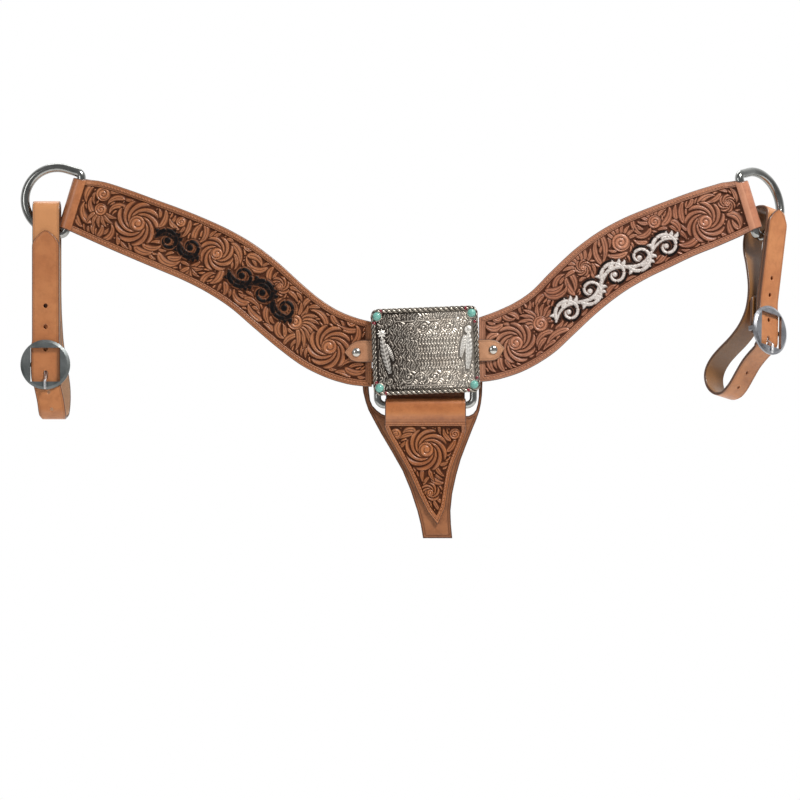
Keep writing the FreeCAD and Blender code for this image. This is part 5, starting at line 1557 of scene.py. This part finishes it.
    # hole that the tongue goes through, and the slot for it at the bar
    for (n0, n1, z0, z1, w_) in ((WR + GAP - 1.45 if side == "left" else 2.6, WR + GAP + 4, -14.2, -5.6, 2.3), (-WR - 2.5, WR + 1.6, -7.0, 6.2, 2.75)):
        rr_ = w_ if n1 > 6 else 1.0
        ring = [(x_, z_) for cx_, cz_, a0_ in ((w_ - rr_, z1 - rr_, 0), (rr_ - w_, z1 - rr_, 90), (rr_ - w_, z0 + rr_, 180), (w_ - rr_, z0 + rr_, 270))
                for x_, z_ in [(cx_ + rr_ * math.cos(math.radians(a0_ + q)), cz_ + rr_ * math.sin(math.radians(a0_ + q))) for q in (1, 18, 36, 54, 72, 89)]]
        m_ = len(ring)
        vv_ = []
        for nn_ in (n0, n1):
            for x_, z_ in ring:
                lp = tug_loc(side, nn_, z_)
                vv_.append(tug_point(side, x_, lp[0], lp[1]))
        fs_ = [(q, (q + 1) % m_, m_ + (q + 1) % m_, m_ + q) for q in range(m_)] + [tuple(range(m_))[::-1], tuple(range(m_, 2 * m_))]
        cut.add(np.array(vv_), fs_)
    co = cut.build(side + "_cut")
    apply_boolean(tug, co)
    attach(tug, side + "_tug")
    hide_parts(side + "_tug_strap")


# ------------------------------------------------------------------ trophy plate
PA = math.radians(2.2)


def plate_world(p):
    p = np.asarray(p, float)
    x, y, z = p[..., 0], p[..., 1], p[..., 2]
    return np.stack([x * math.cos(PA) - z * math.sin(PA), y, 0.3 + x * math.sin(PA) + z * math.cos(PA)], -1)


PW, PH = 46.6, 37.5
plate_poly = [(-PW, -PH), (PW, -PH), (PW, PH), (-PW, PH)]
pt = Relief(plate_poly, step=0.3, border=0.2, floor=0.0)
pt.H[:] = -0.45
pt.D[:] = 0.85
pt.free[:] = sstep(pt.edge, 1.4, 1.8)
# painted light: this mask runs from the left of the plate to the right; below, it makes the left darker as painted
# shade and the right lighter as painted highlight
painted_light_toward_right = sstep(pt.X, -30, 34)


def plume_zone(x, z):
    return (np.abs(x + 38.5) < 5.5) & (np.abs(z) < 24) | (x > 31.0) & (np.abs(z + 0) < 25)


# plain sunk ground round the plumes
for x0, z0, x1, z1, wd in ((-41.0, 14.5, -34.2, -21.5, 5.0), (-36.8, 7.5, -30.4, -9.3, 3.4), (41.4, 15.5, 39.0, -19.8, 4.9), (37.6, 13.8, 33.0, -8.6, 4.0)):
    dx_, dz_ = x1 - x0, z1 - z0
    tt = np.clip(((pt.X - x0) * dx_ + (pt.Z - z0) * dz_) / (dx_ * dx_ + dz_ * dz_), 0, 1)
    dd_ = np.hypot(pt.X - x0 - tt * dx_, pt.Z - z0 - tt * dz_)
    pt.free *= sstep(dd_, wd * (0.5 + 0.5 * np.sin(math.pi * tt)) - 0.2, wd * (0.5 + 0.5 * np.sin(math.pi * tt)) + 0.2)
for bx_, bz_ in ((41.2, 18.6), (-41.0, 17.6)):
    pt.free *= sstep(np.hypot(pt.X - bx_, pt.Z - bz_), 5.0, 5.4)
# scroll bands in the upper and lower parts
pt.vine([(-20, 21.5), (-5, 21.5), (10, 21.5), (27, 21.5)], 2.6, 2.0, 1.0, ink=0.0, coil=2.8)
pt.vine([(-24, -25.5), (-8, -25.5), (8, -25.5), (25, -25.5)], 2.6, 2.0, 1.0, ink=0.0, coil=2.8, hand=-1)
# thin banner lines with a bead at the end
pt.leaf([(-27, 28.4), (0, 28.5), (29, 28.6)], 0.55, high=0.55, even=True)
pt.ball(31.2, 28.7, 2.0, high=0.7)
pt.ball(34.4, 27.6, 1.3, high=0.5)
pt.leaf([(-22, -33.0), (0, -33.1), (28, -33.2)], 0.55, high=0.5, even=True)
# little scrolls in the corners
for cx, cz, hd in ((-33, 27.5, 1), (36.5, 25, -1), (-35, -28.0, -1), (36, -27.5, 1)):
    pt.spiral(cx, cz, 3.4, hd, 2.0)
g = np.random.default_rng(77)
# long wavy cuts on the left
for x in np.arange(-32.0, -8.5, 3.9):
    z = 28.0 - g.uniform(0, 3)
    while z > -34:
        L = g.uniform(10, 16)
        p = []
        for k in range(8):
            zz = z - L * k / 7
            p.append((x + 1.35 * math.sin(zz * 0.62 + x * 0.25) + 0.35 * math.sin(zz * 1.7), zz))
        pt.leaf(p, g.uniform(0.85, 1.15), high=g.uniform(0.35, 0.6), blunt=0.2, gap=0.35)
        z -= L + 0.5
# short slanted cuts in rows on the right
row = 0
for z in np.arange(15.6, -21.0, -6.9):
    row += 1
    for x in np.arange(-8.0, 31.0, 2.95):
        xx = x + (1.4 if row % 2 else 0.0) + g.uniform(-0.3, 0.3)
        L = g.uniform(6.2, 7.6)
        s_ = 1.0 if row % 2 else -0.8
        pt.leaf([(xx - 1.2 * s_, z - L / 2), (xx + 0.6 * s_, z - L / 5), (xx - 0.4 * s_, z + L / 5), (xx + 1.3 * s_, z + L / 2)], g.uniform(0.85, 1.15), high=g.uniform(0.35, 0.65), blunt=0.25, gap=0.32)
pt.fill(2500, 6.0, 0.95, lambda x, z: (math.pi / 2 + 0.5 * math.sin(z * 0.4 + x * 0.2), 1 if math.sin(z) > 0 else -1), 0.0, 31, need=0.62)
pt.fill(2500, 3.0, 0.7, lambda x, z: (math.pi / 2 + 0.9 * math.sin(z * 0.5 + x * 0.3), 1), 0.0, 32, need=0.6)
raised = sstep(pt.H, -0.1, 0.25)
# dark: oxide in the sunk ground and cuts, with painted shade on the left of the plate and painted highlight on the
# right
pt.D = np.clip(pt.D * 0.5 + (1 - painted_light_toward_right) * 0.48 * raised - painted_light_toward_right * 0.26, 0, 1)
pt.D = np.maximum(pt.D, (1 - raised) * (0.96 - 0.38 * painted_light_toward_right))
line_ = (np.abs(pt.Z - 28.5) < 0.9) & (np.abs(pt.X) < 30)
pt.D = np.where(line_ & (raised > 0.4), pt.D * 0.2, pt.D)

nx_, nz_ = 300, 240
gx, gz = np.meshgrid(np.linspace(-PW, PW, nx_), np.linspace(-PH, PH, nz_), indexing="ij")
hh = pt.at(pt.H, gx, gz)
# slight dome, as rolled sheet
dome = 0.5 * (1 - (gx / PW) ** 2) * (1 - (gz / PH) ** 2)
top = np.stack([gx, -18.6 - hh * 0.95 - dome, gz], -1).reshape(-1, 3)
idx = np.arange(nx_ * nz_).reshape(nx_, nz_)
ff = np.stack([idx[:-1, :-1], idx[1:, :-1], idx[1:, 1:], idx[:-1, 1:]], -1).reshape(-1, 4).tolist()
border = list(idx[:, 0]) + list(idx[-1, 1:]) + list(idx[-2::-1, -1]) + list(idx[0, -2:0:-1])
bv = top[border].copy()
bv[:, 1] = -16.0
o_ = len(top)
faces = [tuple(f) for f in ff]
kb = len(border)
for i in range(kb):
    j = (i + 1) % kb
    faces.append((border[i], border[j], o_ + j, o_ + i))
faces.append(tuple(range(o_, o_ + kb)))
plate = make_object("trophy_plate_engraved", plate_world(np.vstack([top, bv])), faces)
fix_normals(plate)
set_attr(plate, "dark", np.r_[pt.at(pt.D, gx, gz).ravel(), np.full(kb, 0.6)])
plate.data.materials.append(M_SILVER)
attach(plate, "root")
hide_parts("trophy_plate", "plate_banners")

# plumes, each a shaft with barbs, under a round boss
pl = Mesh()


def plume(x0, z0, x1, z1, wide, bend):
    n, k = 60, 21
    p = smooth_curve([(x0, z0), ((x0 + x1) / 2 + bend, (z0 + z1) / 2), (x1, z1)], n)
    t = np.gradient(p, axis=0)
    t /= np.linalg.norm(t, axis=1)[:, None]
    s = np.stack([-t[:, 1], t[:, 0]], 1)
    u = np.linspace(0, 1, n)
    w = wide * (0.28 + 0.72 * np.sin(math.pi * np.clip(u * 0.92 + 0.04, 0, 1)) ** 0.7) * (1 - 0.2 * u)
    c = np.linspace(-1, 1, k)
    X = p[:, None, 0] + s[:, None, 0] * w[:, None] * c
    Z = p[:, None, 1] + s[:, None, 1] * w[:, None] * c
    barb = np.sin((u[:, None] * n * 0.95 + np.abs(c)[None, :] * 3.4))
    h = 1.5 * np.sqrt(np.maximum(0, 1 - 0.97 * c[None, :] ** 2)) * np.sin(math.pi * np.clip(u * 0.97 + 0.03, 0.02, 0.99))[:, None] ** 0.35 + 0.11 * barb * (1 - np.exp(-(c / 0.14) ** 2))
    shaft = np.exp(-(c / 0.12) ** 2)
    h = h + 0.45 * shaft[None, :]
    # dark: oxide between the barbs; the left plumes are made darker overall as painted shade
    dk = np.clip(0.45 - 0.6 * barb, 0, 0.8) * (1 - shaft)[None, :] * (0.6 if x0 < 0 else 0.3) + (0.34 * (1 - shaft)[None, :] if x0 < 0 else 0.0)
    v = np.stack([X, -18.9 - h, Z], -1).reshape(-1, 3)
    f = grid_faces(n, k)
    base = v.copy()
    base[:, 1] = -17.6
    pl.add(plate_world(v), f, dk.ravel())
    rim = [i * k for i in range(n)] + [(n - 1) * k + j for j in range(1, k)] + [i * k + k - 1 for i in range(n - 2, -1, -1)] + [j for j in range(k - 2, 0, -1)]
    m = len(rim)
    vv = np.vstack([v[rim], base[rim]])
    fr = [(i, (i + 1) % m, m + (i + 1) % m, m + i) for i in range(m)] + [tuple(range(m, 2 * m))]
    pl.add(plate_world(vv), fr, 0.6)


plume(-41.0, 13.5, -34.4, -20.6, 4.0, -0.6)
plume(-36.8, 7.0, -30.6, -8.5, 2.4, 0.3)
plume(41.4, 15.0, 39.2, -18.8, 3.9, 0.8)
plume(37.6, 13.2, 33.2, -7.6, 3.0, 0.2)


def boss(mesh, cx, cz, r, high, y0=-18.8, rings=10, sides=28, flutes=0):
    v, f, a = [], [], []
    for i in range(rings + 1):
        q = i / rings
        rr = r * math.sin(q * math.pi / 2)
        y = y0 - high * math.cos(q * math.pi / 2)
        for j in range(sides):
            t = 2 * math.pi * j / sides
            k = 1 + (0.05 * math.cos(flutes * t) * q if flutes else 0)
            v.append((cx + rr * k * math.cos(t), y, cz + rr * k * math.sin(t)))
            a.append(0.0 if q < 0.8 else 0.5)
    f = grid_faces(rings + 1, sides, False, True)
    n = len(v)
    for j in range(sides):
        v.append((cx + r * math.cos(2 * math.pi * j / sides), y0 + 1.5, cz + r * math.sin(2 * math.pi * j / sides)))
        a.append(0.7)
        f.append((rings * sides + j, n + j, n + (j + 1) % sides, rings * sides + (j + 1) % sides))
    mesh.add(plate_world(np.array(v)), f, np.array(a))


boss(pl, 41.2, 18.6, 3.9, 1.9)
boss(pl, -41.0, 17.6, 3.3, 1.4, flutes=8)
for a in np.linspace(0, 2 * math.pi, 9)[:-1]:
    boss(pl, -41.0 + 3.7 * math.cos(a), 17.6 + 3.7 * math.sin(a), 0.8, 0.7, rings=4, sides=10)
po = pl.build("plate_plume_ornaments", "dark")
po.data.materials.append(M_BRIGHT)
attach(po, "root")
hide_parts("plate_plumes")

# twisted rope edge
rp = []
W2, H2, RB = 48.6, 38.9, 5.0
for cx, cz, a0 in ((W2 - RB, H2 - RB, 0), (-(W2 - RB), H2 - RB, 90), (-(W2 - RB), -(H2 - RB), 180), (W2 - RB, -(H2 - RB), 270)):
    for a in np.linspace(a0, a0 + 90, 14):
        rp.append((cx + RB * math.cos(math.radians(a)), cz + RB * math.sin(math.radians(a))))
rp.append(rp[0])
rp = resample(np.array(rp), 721)[:-1]
t = np.roll(rp, -1, 0) - np.roll(rp, 1, 0)
t /= np.linalg.norm(t, axis=1)[:, None]
sn = np.stack([t[:, 1], -t[:, 0]], 1)
L = np.linalg.norm(np.roll(rp, -1, 0) - rp, axis=1).sum()
turns = round(L / 15.0)
rope = Mesh()
for k in range(3):
    ph = np.arange(720) / 720 * turns * 2 * math.pi + k * 2 * math.pi / 3
    hx, hy = 1.12 * np.cos(ph), 1.12 * np.sin(ph)
    path = np.column_stack([rp[:, 0] + sn[:, 0] * hx, -18.45 + hy, rp[:, 1] + sn[:, 1] * hx])
    v0 = rope.n
    tmp = Mesh()
    tube(tmp, path, 1.27, 9, closed=True, up=(0.1, 1, 0.05))
    vv = tmp.v[0]
    cen = np.repeat(np.column_stack([rp[:, 0], np.full(720, -18.45), rp[:, 1]]), 9, 0)
    dd = np.linalg.norm(vv - cen, axis=1)
    rope.add(plate_world(vv), tmp.f, 1 - sstep(dd, 1.85, 2.36))
ro = rope.build("plate_twisted_rope", "dark")
ro.data.materials.append(M_ROPE)
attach(ro, "root")
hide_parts("plate_rope_edge")

# bezel cups round the corner beads
bz = Mesh()
for sx in (-45, 45):
    for sz in (-34, 34):
        a = np.linspace(0, 2 * math.pi, 48, endpoint=False)
        path = np.column_stack([sx + 4.15 * np.cos(a), np.full(48, -18.9), sz + 4.15 * np.sin(a)])
        tmp = Mesh()
        tube(tmp, path, 0.62, 8, closed=True, up=(0, 1, 0))
        bz.add(plate_world(tmp.v[0]), tmp.f, 0.35)
        for q in np.linspace(0, 2 * math.pi, 17)[:-1]:
            tmp2 = Mesh()
            c = np.array([sx + 4.75 * math.cos(q), -18.75, sz + 4.75 * math.sin(q)])
            uu, vv_ = np.linspace(0, math.pi, 6), np.linspace(0, 2 * math.pi, 8, endpoint=False)
            sv = np.array([[c[0] + 0.6 * math.sin(p_) * math.cos(w_), c[1] + 0.6 * math.cos(p_), c[2] + 0.6 * math.sin(p_) * math.sin(w_)] for p_ in uu for w_ in vv_])
            bz.add(plate_world(sv), grid_faces(6, 8, False, True), 0.2)
bo = bz.build("plate_bezels", "dark")
bo.data.materials.append(M_SILVER)
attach(bo, "root")

# ------------------------------------------------------------------ metal carried over from the model
FINISH = {"centre_ring": M_CHROME, "plate_clips": M_SCREW, "plate_clip_screws": M_SCREW, "plate_turquoise_beads": M_TURQ, "plate_garnet_beads": M_GARNET}
for side in ("left", "right"):
    FINISH[side + "_dee"] = M_CHROME
    FINISH[side + "_tug_buckle_frame"] = M_BUCKLE_L if side == "left" else M_BUCKLE
    FINISH[side + "_tug_buckle_tongue"] = M_TONGUE
    for k in ("_tab_screw", "_tab_post", "_tug_screw", "_tug_screw_post"):
        FINISH[side + k] = M_SCREW
for k, m in FINISH.items():
    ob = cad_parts[k]
    ob.data.materials.clear()
    ob.data.materials.append(m)

# ------------------------------------------------------------------ stage
fl = bpy.data.meshes.new("floor")
fl.from_pydata([(-1.3, -1.3, -0.64), (1.3, -1.3, -0.64), (1.3, 1.3, -0.64), (-1.3, 1.3, -0.64)], [], [(0, 1, 2, 3)])
floor = bpy.data.objects.new("floor", fl)
bpy.context.scene.collection.objects.link(floor)
kf = Nodes("floor_paper")
kf.set("Base Color", kf.mix(kf.noise(3.0), srgb(244, 243, 241), srgb(250, 249, 248)))
kf.set("Roughness", 0.85)
fl.materials.append(kf.m)

w = bpy.data.worlds.new("studio")
bpy.context.scene.world = w
w.use_nodes = True
nt = w.node_tree
nt.nodes.clear()
wo = nt.nodes.new("ShaderNodeOutputWorld")
bg = nt.nodes.new("ShaderNodeBackground")
tc = nt.nodes.new("ShaderNodeTexCoord")
sp = nt.nodes.new("ShaderNodeSeparateXYZ")
rp_ = nt.nodes.new("ShaderNodeValToRGB")
mp = nt.nodes.new("ShaderNodeMapRange")
mp.inputs[1].default_value = -1.0
mp.inputs[2].default_value = 1.0
nt.links.new(tc.outputs["Generated"], sp.inputs[0])
nt.links.new(sp.outputs[1], mp.inputs[0])
nt.links.new(mp.outputs[0], rp_.inputs[0])
e = rp_.color_ramp.elements
e[0].position, e[0].color = 0.0, (0.22, 0.22, 0.22, 1)
e[1].position, e[1].color = 0.80, (1.0, 1.0, 1.0, 1)
x = e.new(0.30)
x.color = (0.20, 0.20, 0.20, 1)
x = e.new(0.52)
x.color = (0.42, 0.42, 0.42, 1)
nt.links.new(rp_.outputs[0], bg.inputs[0])
bg.inputs[1].default_value = 1.0
nt.links.new(bg.outputs[0], wo.inputs[0])


def area(name, loc, size, power, target=(0, 0, 0), col=(1, 1, 1)):
    l = bpy.data.lights.new(name, "AREA")
    l.shape = "RECTANGLE"
    l.size, l.size_y = size
    l.energy = power
    l.color = col
    o = bpy.data.objects.new(name, l)
    o.location = loc
    d = Vector(target) - Vector(loc)
    o.rotation_euler = d.to_track_quat("-Z", "Y").to_euler()
    bpy.context.scene.collection.objects.link(o)
    return o


area("key", (0.95, -1.15, 1.55), (0.5, 0.5), 46, col=(1.0, 0.985, 0.96))
area("fill", (-1.5, -1.7, 0.5), (0.7, 1.2), 8)
area("rim", (-0.3, 0.8, 1.6), (1.2, 0.5), 8)

cam = bpy.data.cameras.new("camera")
cam.lens = 151.0
cam.sensor_width = 36.0
cam.clip_start, cam.clip_end = 0.05, 30
co = bpy.data.objects.new("camera", cam)
co.location = (-0.0242, -3.2, -0.0466)
co.rotation_euler = (math.pi / 2, 0, 0)
bpy.context.scene.collection.objects.link(co)
bpy.context.scene.camera = co

bpy.context.scene.view_settings.view_transform = "Standard"
bpy.context.scene.view_settings.look = "None"
bpy.context.view_layer.update()
